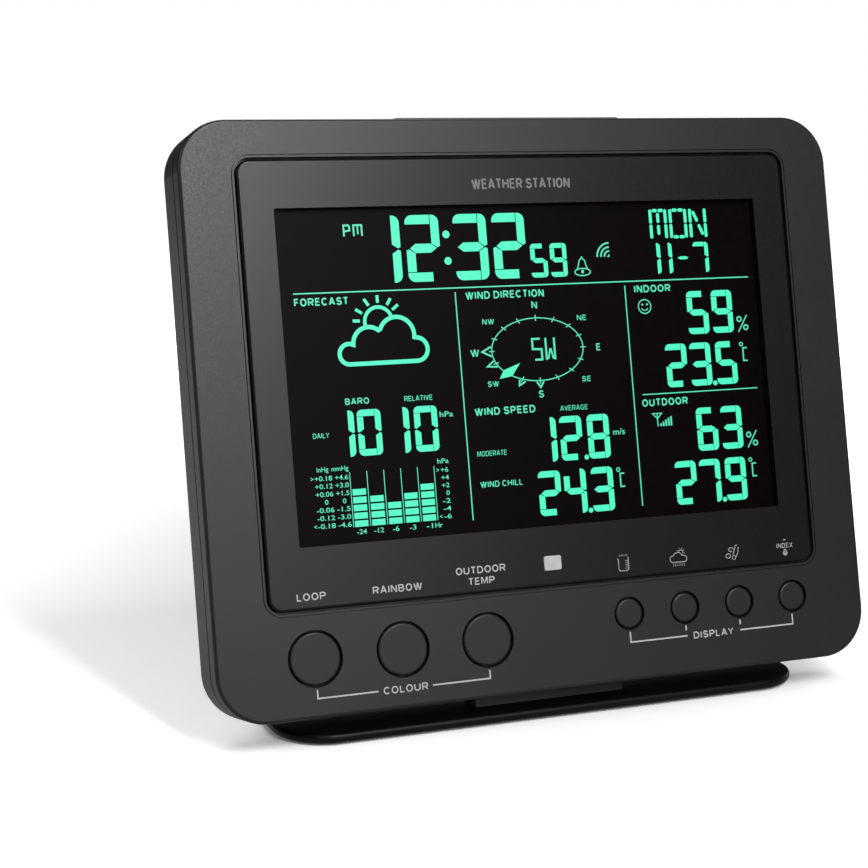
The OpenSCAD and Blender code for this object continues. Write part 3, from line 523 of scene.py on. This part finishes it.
def segments(width, height, bar, gap):
    """Outlines of a digit's seven segments, from its lower left corner."""
    mid = height / 2
    corner = 0.8 * bar
    tip = 0.3 * bar
    inner = width - bar
    top = [(0, height - bar), (0, height - corner)]
    top += arc(corner, height - corner, corner, 180, 90, 6)[1:]
    top += [(inner - gap / 2, height), (inner - gap / 2, height - bar)]
    upper_right = [(inner + gap / 2, height)]
    upper_right += arc(width - corner, height - corner, corner, 90, 0, 6)
    upper_right += [(width, mid + 0.2 * bar), (width - tip, mid + 0.08 * bar),
                    (inner + gap / 2, mid + bar / 2)]
    upper_left = [(0, height - bar - gap), (bar, height - bar - gap), (bar, mid + bar / 2 + gap / 2),
                  (tip, mid + 0.1 * bar), (0, mid + 0.2 * bar)]
    middle = [(tip + 0.1 * bar, mid), (bar + 0.05 * bar, mid + bar / 2), (inner - gap, mid + bar / 2),
              (width - tip - gap, mid), (inner - gap, mid - bar / 2), (bar + 0.05 * bar, mid - bar / 2)]

    def flipped(points):
        return [(x, height - y) for x, y in points]

    return {"a": top, "b": upper_right, "c": flipped(upper_right), "d": flipped(top),
            "e": flipped(upper_left), "f": upper_left, "g": middle}


def digit(ink, sign, left, low, width, height, bar, gap):
    """Lights the segments of one digit."""
    outlines = segments(width, height, bar, gap)
    for name in LIT[sign]:
        ink.plate([(left + x, low + y) for x, y in outlines[name]])


def digits(ink, signs, lefts, low, width, height, bar, gap=0.14):
    """Lights a row of digits, each from its own left edge."""
    for sign, left in zip(signs, lefts):
        digit(ink, sign, left, low, width, height, bar, gap)


# ---------- Display content ----------

LIT_T = 0.03

figures = Ink("display_figures", SEGMENT_GLOW, FILM_DEPTH, LIT_T)
labels = Ink("display_labels", LABEL_GLOW, FILM_DEPTH, LIT_T)

# Clock and seconds, on one line
CLOCK_LOW = 117.1
digits(figures, "1232", (-48.6, -36.7, -22.15, -10.2), CLOCK_LOW, 10.15, 18.9, 2.6, 0.22)
for dot_v in (122.75, 130.3):
    figures.disc(-24.45, dot_v, 1.1)
digits(figures, "59", (1.2, 7.4), CLOCK_LOW, 5.25, 9.8, 1.4)

# Pressure, wind and climate readings, all in one size
MID = {"width": 7.0, "height": 12.8, "bar": 1.82}
digits(figures, "10", (-63.2, -55.3), 69.4, **MID)
digits(figures, "10", (-46.95, -38.45), 69.4, **MID)
digits(figures, "128", (-2.15, 6.0, 14.75), 63.9, **MID)
digits(figures, "243", (-2.1, 6.0, 14.75), 48.55, **MID)
digits(figures, "59", (50.7, 59.0), 98.55, **MID)
digits(figures, "235", (42.2, 50.3, 59.0), 83.15, **MID)
digits(figures, "63", (50.7, 59.0), 63.8, **MID)
digits(figures, "279", (42.2, 50.3, 59.0), 48.4, **MID)
POINT_R = 0.72
for dot_u, dot_v in ((13.9, 64.5), (13.9, 49.1), (58.15, 83.7), (58.15, 48.95)):
    figures.disc(dot_u, dot_v, POINT_R)

# Date
digits(figures, "117", (38.2, 42.1, 54.3), 116.9, 5.1, 9.1, 1.3)
figures.plate([(48.9, 121.4), (49.9, 121.85), (51.7, 121.85), (52.7, 121.4), (51.7, 120.95),
               (49.9, 120.95)])


def letter_cell(left, low, width, height, bar):
    """Bands of a sixteen-segment letter: name to its two ends, measured along the middle of the bar."""
    half = bar / 2
    x0, x1, xm = left + half, left + width - half, left + width / 2
    y0, y1, ym = low + half, low + height - half, low + height / 2
    near = 0.12 * bar
    return {
        "f": ((x0, y1 + half * 0.6), (x0, ym + near)), "e": ((x0, ym - near), (x0, y0 - half * 0.6)),
        "b": ((x1, y1 + half * 0.6), (x1, ym + near)), "c": ((x1, ym - near), (x1, y0 - half * 0.6)),
        "a1": ((x0 + 0.6 * bar, y1), (xm - near, y1)), "a2": ((xm + near, y1), (x1 - 0.6 * bar, y1)),
        "d1": ((x0 + 0.6 * bar, y0), (xm - near, y0)), "d2": ((xm + near, y0), (x1 - 0.6 * bar, y0)),
        "i": ((xm, y1 - bar * 0.7), (xm, ym + bar * 0.3)),
        "l": ((xm, ym - bar * 0.3), (xm, y0 + bar * 0.7)),
        "h": ((x0 + bar * 0.9, y1 - bar * 0.4), (xm - near, ym + bar * 0.4)),
        "k": ((xm + near, ym - bar * 0.4), (x1 - bar * 0.9, y0 + bar * 0.4)),
    }


def letter(ink, names, left, low, width, height, bar):
    """Lights some bands of a letter, each narrowed to a blunt point at both ends."""
    half_band = 0.47
    blunt = 0.35
    cells = letter_cell(left, low, width, height, bar)
    for name in names:
        (ax, ay), (bx, by) = cells[name]
        length = math.hypot(bx - ax, by - ay)
        dx, dy = (bx - ax) / length, (by - ay) / length
        sx, sy = -dy * bar * half_band, dx * bar * half_band
        cut = min(0.28 * bar, length / 3)
        ink.plate([(ax + sx * blunt, ay + sy * blunt), (ax + sx + dx * cut, ay + sy + dy * cut),
                   (bx + sx - dx * cut, by + sy - dy * cut), (bx + sx * blunt, by + sy * blunt),
                   (bx - sx * blunt, by - sy * blunt), (bx - sx - dx * cut, by - sy - dy * cut),
                   (ax - sx + dx * cut, ay - sy + dy * cut), (ax - sx * blunt, ay - sy * blunt)])


DAY = {"low": 127.2, "width": 6.0, "height": 9.0, "bar": 1.04}
letter(figures, ("f", "e", "b", "c", "a1", "a2", "i", "l"), 40.4, **DAY)
letter(figures, ("f", "e", "b", "c", "a1", "a2", "d1", "d2"), 47.05, **DAY)
letter(figures, ("f", "e", "b", "c", "h", "k"), 53.7, **DAY)

# Wind direction in letters
DIRECTION_W = 0.6
labels.stroke([(2.0, 99.45), (-0.45, 99.45), (-0.45, 96.55), (2.35, 96.4), (2.35, 93.45), (0.1, 93.45)],
              DIRECTION_W)
for upright_u in (3.75, 6.45):
    labels.stroke([(upright_u, 99.6), (upright_u, 93.3)], DIRECTION_W)
labels.stroke([(4.3, 93.5), (5.0, 96.3), (5.25, 96.3), (5.95, 93.5)], 0.5)

# Dividing lines
DISPLAY_RIGHT = 72.3
labels.stroke([(-70.9, 115.0), (DISPLAY_RIGHT, 115.0)], 0.36)
labels.stroke([(33.6, 81.5), (DISPLAY_RIGHT, 81.5)], 0.32)
for line_u in (-23.05, 30.65):
    labels.stroke([(line_u, 49.1), (line_u, 113.8)], 0.34)

# Capital height and weight of the headings, the compass points between the main ones, and small words
HEADING = (2.2, 0.195)
MAIN_POINT = (2.1, 0.18)
MINOR_POINT = (1.6, 0.165)
SMALL = (1.5, 0.13)
SCALE = (1.3, 0.13)
HOUR = (1.35, 0.13)
HOUR_BASE = 47.95

# Words and units: text, left, right, baseline, then capital height and weight
WORDS = (
    ("FORECAST", -70.9, -55.1, 111.5, *HEADING),
    ("WIND DIRECTION", -20.0, 4.5, 111.55, *HEADING),
    ("INDOOR", 33.6, 45.7, 111.55, *HEADING),
    ("OUTDOOR", 33.2, 48.4, 77.95, *HEADING),
    ("WIND SPEED", -20.0, -1.1, 78.4, *HEADING),
    ("WIND CHILL", -20.0, -6.9, 58.0, 1.75, 0.165),
    ("AVERAGE", 6.7, 15.5, 78.3, *SMALL),
    ("MODERATE", -20.2, -11.1, 66.85, *SMALL),
    ("m/s", 23.0, 26.8, 70.4, 1.75, 0.13),
    ("BARO", -58.4, -51.3, 83.75, 1.8, 0.18),
    ("RELATIVE", -40.9, -32.4, 83.75, 1.5, 0.14),
    ("hPa", -30.7, -26.6, 78.8, 1.5, 0.14),
    ("DAILY", -68.4, -63.7, 75.0, 1.45, 0.13),
    ("inHg", -68.1, -64.7, 65.8, *SCALE),
    ("mmHg", -63.8, -58.9, 65.8, *SCALE),
    ("hPa", -32.5, -29.1, 65.8, *HOUR),
    ("Hr", -34.6, -32.4, HOUR_BASE, *HOUR),
    ("N", 0.2, 2.05, 108.2, *MAIN_POINT),
    ("E", 19.75, 21.2, 95.2, *MAIN_POINT),
    ("S", 0.3, 1.95, 82.5, *MAIN_POINT),
    ("W", -19.9, -17.1, 95.2, *MAIN_POINT),
    ("NE", 14.3, 17.4, 104.2, *MINOR_POINT),
    ("NW", -15.5, -11.8, 104.2, *MINOR_POINT),
    ("SE", 14.4, 17.3, 86.4, *MINOR_POINT),
    ("SW", -15.3, -11.8, 86.4, *MINOR_POINT),
)
for words, left, right, base, cap, weight in WORDS:
    labels.text(words, left, right, base, cap, weight)

# Pressure history: scales, columns and filled blocks
ROW_BASE = 50.25
ROW_PITCH = 2.18
# Left and right of each scale's entries, and of the signs at the scales' ends
LEFT_END = (-70.0, -69.2)
INHG = (-68.9, -63.8)
MMHG = (-63.0, -59.15)
RIGHT_END = (-33.0, -32.2)
HPA = (-31.7, -29.4)
SCALES = (
    (("<", *LEFT_END), ("-0.18", *INHG), ("-4.6", *MMHG), ("<", *RIGHT_END), ("-6", *HPA)),
    (("-0.12", *INHG), ("-3.0", *MMHG), ("-4", *HPA)),
    (("-0.06", *INHG), ("-1.5", *MMHG), ("-2", *HPA)),
    (("0", -66.4, -65.4), ("0", -61.2, -60.2), ("0", -30.5, -29.5)),
    (("+0.06", *INHG), ("+1.5", *MMHG), ("+2", *HPA)),
    (("+0.12", *INHG), ("+3.0", *MMHG), ("+4", *HPA)),
    ((">", *LEFT_END), ("+0.18", *INHG), ("+4.6", *MMHG), (">", *RIGHT_END), ("+6", *HPA)),
)
for row, entries in enumerate(SCALES):
    for words, left, right in entries:
        labels.text(words, left, right, ROW_BASE + row * ROW_PITCH, *SCALE)

COLUMN_LEFT = -58.2
COLUMN_PITCH = 5.03
BLOCK_W = 3.9
BLOCK_H = 1.7
BLOCK_LOW = 50.0
HOURS = ("-24", "-12", "-6", "-3", "-1")
for column, filled in enumerate((5, 4, 3, 4, 5)):
    left = COLUMN_LEFT + column * COLUMN_PITCH
    for block in range(filled):
        low = BLOCK_LOW + block * ROW_PITCH
        figures.box(left, left + BLOCK_W, low, low + BLOCK_H)
    label_w = 0.95 * len(HOURS[column])
    label_left = left + BLOCK_W / 2 - label_w / 2 - 0.1
    labels.text(HOURS[column], label_left, label_left + label_w, HOUR_BASE, *HOUR)
for line in range(len(HOURS) + 1):
    line_u = COLUMN_LEFT - 0.45 + line * 5.0
    labels.stroke([(line_u, BLOCK_LOW), (line_u, 65.2)], 0.22)

# Forecast: sun behind a cloud
CLOUD_W = 1.2
SUN_W = 1.0
RAY_W = 0.85
cloud = arc(-36.0, 98.25, 3.3, -90, 92, 14)
cloud += arc(-41.6, 102.35, 5.2, -8, 158, 18)
cloud += arc(-49.9, 100.3, 4.75, 52, 180, 16)
cloud += arc(-56.0, 97.75, 2.85, 75, 270, 16)
figures.stroke(cloud, CLOUD_W, closed=True)
figures.stroke(arc(-46.7, 106.4, 4.1, 13, 193, 22), SUN_W)
RAYS = (((-54.3, 106.9), (-52.2, 106.8)), ((-53.3, 110.1), (-51.4, 108.9)), ((-50.6, 112.9), (-49.3, 111.0)),
        ((-46.6, 113.8), (-46.6, 111.7)), ((-42.7, 112.8), (-43.9, 111.0)), ((-40.6, 110.95), (-42.4, 109.6)))
for start, end in RAYS:
    figures.stroke([start, end], RAY_W)

# Compass
COMPASS_U, COMPASS_V = 1.15, 96.45
COMPASS_A, COMPASS_B = 14.4, 9.05
COMPASS_W = 0.3
TICKS = 16
HALF_TICK = 0.85
labels.stroke(arc(COMPASS_U, COMPASS_V, COMPASS_A, 0, 360, 72, COMPASS_B / COMPASS_A)[:-1], COMPASS_W,
              closed=True)
for tick in range(TICKS):
    angle = math.radians(tick * 360 / TICKS)
    edge = Vector((COMPASS_A * math.cos(angle), COMPASS_B * math.sin(angle)))
    along = edge.normalized()
    centre = Vector((COMPASS_U, COMPASS_V)) + edge
    inner_end, outer_end = centre - along * HALF_TICK, centre + along * HALF_TICK
    labels.stroke([tuple(inner_end), tuple(outer_end)], COMPASS_W)
figures.plate([(-4.8, 92.75), (-7.5, 89.15), (-11.45, 88.55), (-10.0, 90.95)])
OPEN_ARROWS = (((-13.4, 97.85), (-16.2, 96.45), (-13.4, 95.05)),
               ((-12.9, 93.75), (-14.9, 92.2), (-11.7, 92.05)),
               ((-5.3, 88.0), (-5.45, 86.35), (-3.5, 87.4)), ((0.0, 87.1), (1.15, 85.5), (2.25, 87.1)))
for arrow in OPEN_ARROWS:
    labels.stroke(list(arrow), 0.5)

# Morning or afternoon mark
MARK_W = 0.5
labels.stroke([(-54.9, 130.5), (-54.9, 133.55), (-53.45, 133.55), (-53.2, 133.2), (-53.2, 132.1),
               (-54.7, 131.9)], MARK_W)
labels.stroke([(-52.0, 130.5), (-52.0, 133.55), (-49.6, 133.55), (-49.6, 130.5)], MARK_W)
labels.stroke([(-50.8, 133.4), (-50.8, 131.0)], 0.45)

# Bell
BELL_W = 0.34
labels.stroke(arc(17.4, 118.25, 2.5, 0, 360, 28, 0.42)[:-1], BELL_W, closed=True)
labels.stroke([(15.7, 119.1), (16.2, 120.2), (16.5, 121.6), (17.4, 122.35), (18.3, 121.6), (18.6, 120.2),
               (19.1, 119.1)], BELL_W)
labels.disc(17.4, 122.5, 0.3)
labels.plate([(17.1, 118.9), (17.7, 118.9), (17.9, 118.1), (17.4, 117.8), (16.9, 118.1)])

# Wireless network mark
for radius in (1.65, 2.8, 4.0):
    labels.stroke(arc(26.5, 122.5, radius, 90, 180, 12), MARK_W)
labels.plate([(26.5, 122.4), (26.5, 123.3), (25.6, 122.4)])

# Percent signs, then each degree mark with the open letter beside it
for low in (98.55, 63.8):
    for ring_u, ring_v in ((68.0, low + 3.85), (70.1, low + 1.3)):
        labels.stroke(arc(ring_u, ring_v, 0.7, 0, 360, 20)[:-1], 0.42, closed=True)
    labels.stroke([(67.5, low), (70.7, low + 5.0)], 0.36)
DEGREE_LETTER = ((1.85, -1.15), (0.5, -1.15), (0.5, -4.95), (1.85, -4.95))
for ring_u, ring_v in ((67.95, 94.85), (67.85, 60.15), (23.65, 60.2)):
    labels.stroke(arc(ring_u, ring_v, 0.52, 0, 360, 18)[:-1], 0.32, closed=True)
    labels.stroke([(ring_u + du, ring_v + dv) for du, dv in DEGREE_LETTER], 0.42)

# Comfort face, aerial and signal bars
labels.stroke(arc(36.65, 107.4, 2.05, 0, 360, 32)[:-1], 0.32, closed=True)
for eye_u in (35.9, 37.45):
    labels.disc(eye_u, 108.0, 0.32, 14)
labels.stroke(arc(36.65, 107.35, 1.1, 205, 335, 12), 0.3)
labels.stroke([(36.3, 75.75), (39.35, 75.75), (37.85, 74.2)], 0.3, closed=True)
SIGNAL_BASE = 71.95
labels.stroke([(37.85, 75.6), (37.85, SIGNAL_BASE)], 0.34)
for bar_index, bar_high in enumerate((0.8, 1.3, 1.85, 2.3, 2.75)):
    bar_u = 38.6 + bar_index * 0.86
    labels.box(bar_u, bar_u + 0.55, SIGNAL_BASE, SIGNAL_BASE + bar_high)

figures.finish()
labels.finish()

# ---------- Printed legends on the bezel and the case ----------

PRINT_T = 0.02

legends = Ink("front_legends", LEGEND_INK, 0, PRINT_T)
LEGEND_CAP = 2.05
LEGEND_WEIGHT = 0.17
for words, left, right, base in (
        ("LOOP", -77.3, -68.9, 31.25), ("RAINBOW", -55.4, -40.8, 31.25),
        ("OUTDOOR", -30.5, -15.3, 34.2), ("TEMP", -26.95, -18.9, 31.05),
        ("COLOUR", -54.5, -41.3, 3.6), ("DISPLAY", 42.6, 56.0, 9.1)):
    legends.text(words, left, right, base, LEGEND_CAP, LEGEND_WEIGHT)
BRACKET_W = 0.42
for outline in (((-73.4, 7.0), (-73.4, 4.65), (-56.0, 4.65)), ((-39.9, 4.65), (-22.6, 4.65), (-22.6, 7.0)),
                ((22.1, 13.2), (22.1, 10.2), (40.6, 10.2)), ((58.3, 10.2), (76.3, 10.2), (76.3, 13.2)),
                ((40.35, 13.2), (40.35, 11.8)), ((58.45, 13.2), (58.45, 11.8))):
    legends.stroke(list(outline), BRACKET_W)
legends.finish()

icons = Ink("front_icons", ICON_INK, 0, PRINT_T)
ICON_W = 0.26
FINE_W = 0.18

# Rain gauge: a beaker with a scale, and drops over it
icons.stroke([(19.8, 34.6), (20.15, 34.2), (20.15, 31.4), (20.6, 30.9), (22.9, 30.9), (23.35, 31.4),
              (23.35, 34.8)], ICON_W)
for mark in range(5):
    mark_v = 31.6 + mark * 0.55
    icons.stroke([(22.3 + 0.12 * (mark % 2), mark_v), (23.2, mark_v)], FINE_W)
for drop in range(5):
    icons.stroke([(20.5 + drop * 0.6, 35.1), (20.7 + drop * 0.6, 35.6)], 0.16)

# Forecast history: sun, cloud and rain
icons.stroke(arc(37.9, 32.8, 0.95, 100, 270, 10) + arc(41.6, 32.75, 0.9, -90, 80, 10)
             + arc(39.5, 33.2, 1.5, 25, 150, 12), ICON_W, closed=True)
SUN_U, SUN_V = 40.6, 34.6
icons.stroke(arc(SUN_U, SUN_V, 0.75, -30, 170, 12), 0.22)
for ray in range(5):
    angle = math.radians(ray * 40 - 10)
    icons.stroke([(SUN_U + reach * math.cos(angle), SUN_V + reach * math.sin(angle))
                  for reach in (1.05, 1.4)], FINE_W)
for drop in range(6):
    drop_u = 37.9 + drop * 0.72
    icons.stroke([(drop_u, 30.7), (drop_u, 31.4)], FINE_W)

# Wind: a curl of air and leaves
icons.stroke(arc(57.4, 34.0, 0.8, 0, 300, 14, 0.75), ICON_W)
icons.stroke(arc(56.3, 32.2, 0.8, 0, 360, 14, 0.8)[:-1], ICON_W, closed=True)
icons.stroke(arc(58.2, 31.6, 0.6, 0, 360, 12)[:-1], 0.22, closed=True)
icons.stroke([(57.9, 32.4), (58.5, 33.8), (58.9, 35.1), (59.5, 35.2)], ICON_W)
icons.stroke([(58.9, 31.6), (59.6, 32.9), (59.9, 34.6)], ICON_W)

# A word between a small arch and a drop
icons.text("INDEX", 72.9, 78.5, 33.0, 1.45, LEGEND_WEIGHT)
icons.disc(75.75, 31.5, 0.8, 18)
icons.box(75.4, 76.1, 31.5, 32.7)
icons.stroke(arc(75.75, 35.2, 0.35, 0, 180, 8), 0.2)
icons.finish()

name_plate = Ink("generic_name", NAME_INK, 0, PRINT_T)
name_plate.text("WEATHER STATION", -16.3, 14.4, 142.6, 3.0, 0.18)
name_plate.finish()

# ---------- Legends on the back ----------

BACK_DEPTH = 29.0
back = Ink("rear_legends", LEGEND_INK, BACK_DEPTH, PRINT_T, faces_back=True)
KEY_PITCH = 17
KEY_WORDS_BASE = 125.4
# Each text with its middle and its baseline
BACK_WORDS = [(words, (index - 2.5) * KEY_PITCH, KEY_WORDS_BASE) for index, words in enumerate(
    ("HISTORY", "ALARM", "ALERT", "CLOCK", "+", "-"))]
BACK_WORDS += [("HI", -69.0, 122.6), ("LO", -69.0, 116.2), ("RESET", 60, KEY_WORDS_BASE),
               ("DC 5V", 62, 56.5)]
HALF_SIGN = 0.72
for words, middle, base in BACK_WORDS:
    half = HALF_SIGN * len(words)
    back.text(words, -middle - half, -middle + half, base, 1.7, 0.15, turn=-1)
back.finish()

# ---------- Studio: floor, light and camera ----------

# The floor's brightness for the camera: a painted shadow pool behind the object, a glow that fades into painted
# contact shade where surfaces meet, and a glow that grows with distance. Lengths are in metres.
FLOOR_RADIUS = 3.0
FLOOR_SIDES = 96
# Painted shadow on the floor: a darker pool of floor colour behind the object, stretched front to back, with the
# distances over which it fades into the open floor's tone
SHADOW_POOL_X = 0.03
SHADOW_POOL_Y = 0.15
SHADOW_POOL_SQUASH = 0.6
SHADOW_POOL_START, SHADOW_POOL_END = 0.07, 0.325
SHADOW_POOL_TONE, OPEN_FLOOR_TONE = 0.85, 2.2
# Painted contact shade: how far the occlusion reaches, the floor's glow where it is fully shaded, and its glow in
# the open
CONTACT_SHADE_REACH = 0.014
CONTACT_SHADE_GLOW, FLOOR_GLOW = 0.05, 0.31
RISE_START, RISE_END = 0.4, 1.0
FAR_GLOW = 0.6
# Painted bounce light: the glow the object sees from the floor, weaker in front of it than behind it
FRONT_BOUNCE, BACK_BOUNCE = 0.24, 0.5
BOUNCE_TURN = 0.12
WORLD_FILL = 0.06


def length_of(tree, vector):
    """Length of a vector value."""
    node = tree.nodes.new("ShaderNodeVectorMath")
    node.operation = "LENGTH"
    tree.links.new(vector, node.inputs[0])
    return node.outputs["Value"]


def studio_floor():
    """Large pale disc. The camera sees it lit and shadowed, with a painted shadow pool and painted contact shade;
    to the object it is only a glow, a painted bounce light.
    """
    ring = [(FLOOR_RADIUS * math.cos(2 * math.pi * i / FLOOR_SIDES),
             FLOOR_RADIUS * math.sin(2 * math.pi * i / FLOOR_SIDES), 0) for i in range(FLOOR_SIDES)]
    mesh = bpy.data.meshes.new("floor")
    mesh.from_pydata(ring, [], [list(range(FLOOR_SIDES))])
    material, tree, shader = new_material("floor")
    coords = tree.nodes.new("ShaderNodeTexCoord")
    distance = length_of(tree, coords.outputs["Object"])
    # Painted shadow: the floor's colour darkens in a pool behind the object
    pool = tree.nodes.new("ShaderNodeVectorMath")
    pool.operation = "MULTIPLY_ADD"
    pool.inputs[1].default_value = (1, SHADOW_POOL_SQUASH, 0)
    pool.inputs[2].default_value = (-SHADOW_POOL_X, -SHADOW_POOL_SQUASH * SHADOW_POOL_Y, 0)
    tree.links.new(coords.outputs["Object"], pool.inputs[0])
    spread = length_of(tree, pool.outputs["Vector"])
    tone = mix_colours(tree, remap(tree, spread, 0, 1, SHADOW_POOL_START, SHADOW_POOL_END), [SHADOW_POOL_TONE] * 3,
                       [OPEN_FLOOR_TONE] * 3)
    tree.links.new(tone, shader.inputs["Base Color"])
    glossed(tree, shader, noise(tree, 6, 2), 0.76, 0.84)
    shader.inputs["Specular IOR Level"].default_value = 0.0
    shader.inputs["Emission Color"].default_value = (1, 1, 1, 1)
    # Painted contact shade: the floor's glow fades where the object stands close over it
    contact = tree.nodes.new("ShaderNodeAmbientOcclusion")
    contact.samples = 8
    contact.inputs["Distance"].default_value = CONTACT_SHADE_REACH
    total = tree.nodes.new("ShaderNodeMath")
    total.operation = "ADD"
    tree.links.new(remap(tree, contact.outputs["AO"], CONTACT_SHADE_GLOW, FLOOR_GLOW, 0.0, 0.8), total.inputs[0])
    tree.links.new(remap(tree, distance, 0, FAR_GLOW, RISE_START, RISE_END), total.inputs[1])
    tree.links.new(total.outputs["Value"], shader.inputs["Emission Strength"])
    # Painted bounce light: other rays see the floor only as a glow, weaker in front of the object than behind it
    split = tree.nodes.new("ShaderNodeSeparateXYZ")
    tree.links.new(coords.outputs["Object"], split.inputs["Vector"])
    bounce = remap(tree, split.outputs["Y"], FRONT_BOUNCE, BACK_BOUNCE, -BOUNCE_TURN, BOUNCE_TURN)
    bounce_glow = tree.nodes.new("ShaderNodeEmission")
    tree.links.new(bounce, bounce_glow.inputs["Strength"])
    path = tree.nodes.new("ShaderNodeLightPath")
    choice = tree.nodes.new("ShaderNodeMixShader")
    tree.links.new(path.outputs["Is Camera Ray"], choice.inputs["Fac"])
    tree.links.new(bounce_glow.outputs["Emission"], choice.inputs[1])
    tree.links.new(shader.outputs["BSDF"], choice.inputs[2])
    tree.links.new(choice.outputs["Shader"], tree.nodes["Material Output"].inputs["Surface"])
    mesh.materials.append(material)
    floor = bpy.data.objects.new("floor", mesh)
    bpy.context.scene.collection.objects.link(floor)


def soft_box(name, spot, aim, width, height, power):
    """Rectangular studio light at a spot, facing a point."""
    light = bpy.data.lights.new(name, "AREA")
    light.shape = "RECTANGLE"
    light.size = width
    light.size_y = height
    light.energy = power
    lamp = bpy.data.objects.new(name, light)
    lamp.location = spot
    lamp.rotation_euler = (Vector(aim) - Vector(spot)).to_track_quat("-Z", "Y").to_euler()
    bpy.context.scene.collection.objects.link(lamp)


def studio_world():
    """White behind the object, and a faint even fill for everything that isn't seen directly."""
    world = bpy.data.worlds.new("studio")
    world.use_nodes = True
    tree = world.node_tree
    shade = tree.nodes["Background"]
    shade.inputs["Color"].default_value = (1, 1, 1, 1)
    path = tree.nodes.new("ShaderNodeLightPath")
    level = tree.nodes.new("ShaderNodeMapRange")
    level.inputs["To Min"].default_value = WORLD_FILL
    level.inputs["To Max"].default_value = 1.0
    tree.links.new(path.outputs["Is Camera Ray"], level.inputs["Value"])
    tree.links.new(level.outputs["Result"], shade.inputs["Strength"])
    bpy.context.scene.world = world


studio_floor()
studio_world()
soft_box("front_strip", (0.14, -1.0, 0.96), (0, 0.02, 0.1), 0.2, 0.92, 13)
soft_box("low_strip", (0.26, -1.3, 0.36), (0, 0.02, 0.1), 0.22, 0.5, 1.3)
soft_box("back_fill", (0.2, 0.85, 1.15), (0, 0, 0.08), 0.9, 0.7, 6)
soft_box("left_fill", (-1.05, -0.25, 0.75), (0, 0, 0.1), 0.25, 0.5, 2.0)
soft_box("side_fill", (1.15, 0.35, 0.45), (0, 0, 0.08), 0.5, 0.7, 2.2)

bpy.context.scene.view_settings.view_transform = "Standard"

# The camera stands in front of the face's foot, to its left, and looks right and a little down
CAMERA_OFFSET = Vector((-0.2300, -0.4781, 0.1640))
CAMERA_YAW = math.radians(21.672)
CAMERA_PITCH = math.radians(9.783)
LENS = 80.09
SENSOR = 36.0

camera_data = bpy.data.cameras.new("camera")
camera_data.lens = LENS
camera_data.sensor_width = SENSOR
camera = bpy.data.objects.new("camera", camera_data)
camera.location = ORIGIN + CAMERA_OFFSET
look = Vector((math.sin(CAMERA_YAW) * math.cos(CAMERA_PITCH), math.cos(CAMERA_YAW) * math.cos(CAMERA_PITCH),
               -math.sin(CAMERA_PITCH)))
camera.rotation_euler = look.to_track_quat("-Z", "Y").to_euler()
bpy.context.scene.collection.objects.link(camera)
bpy.context.scene.camera = camera
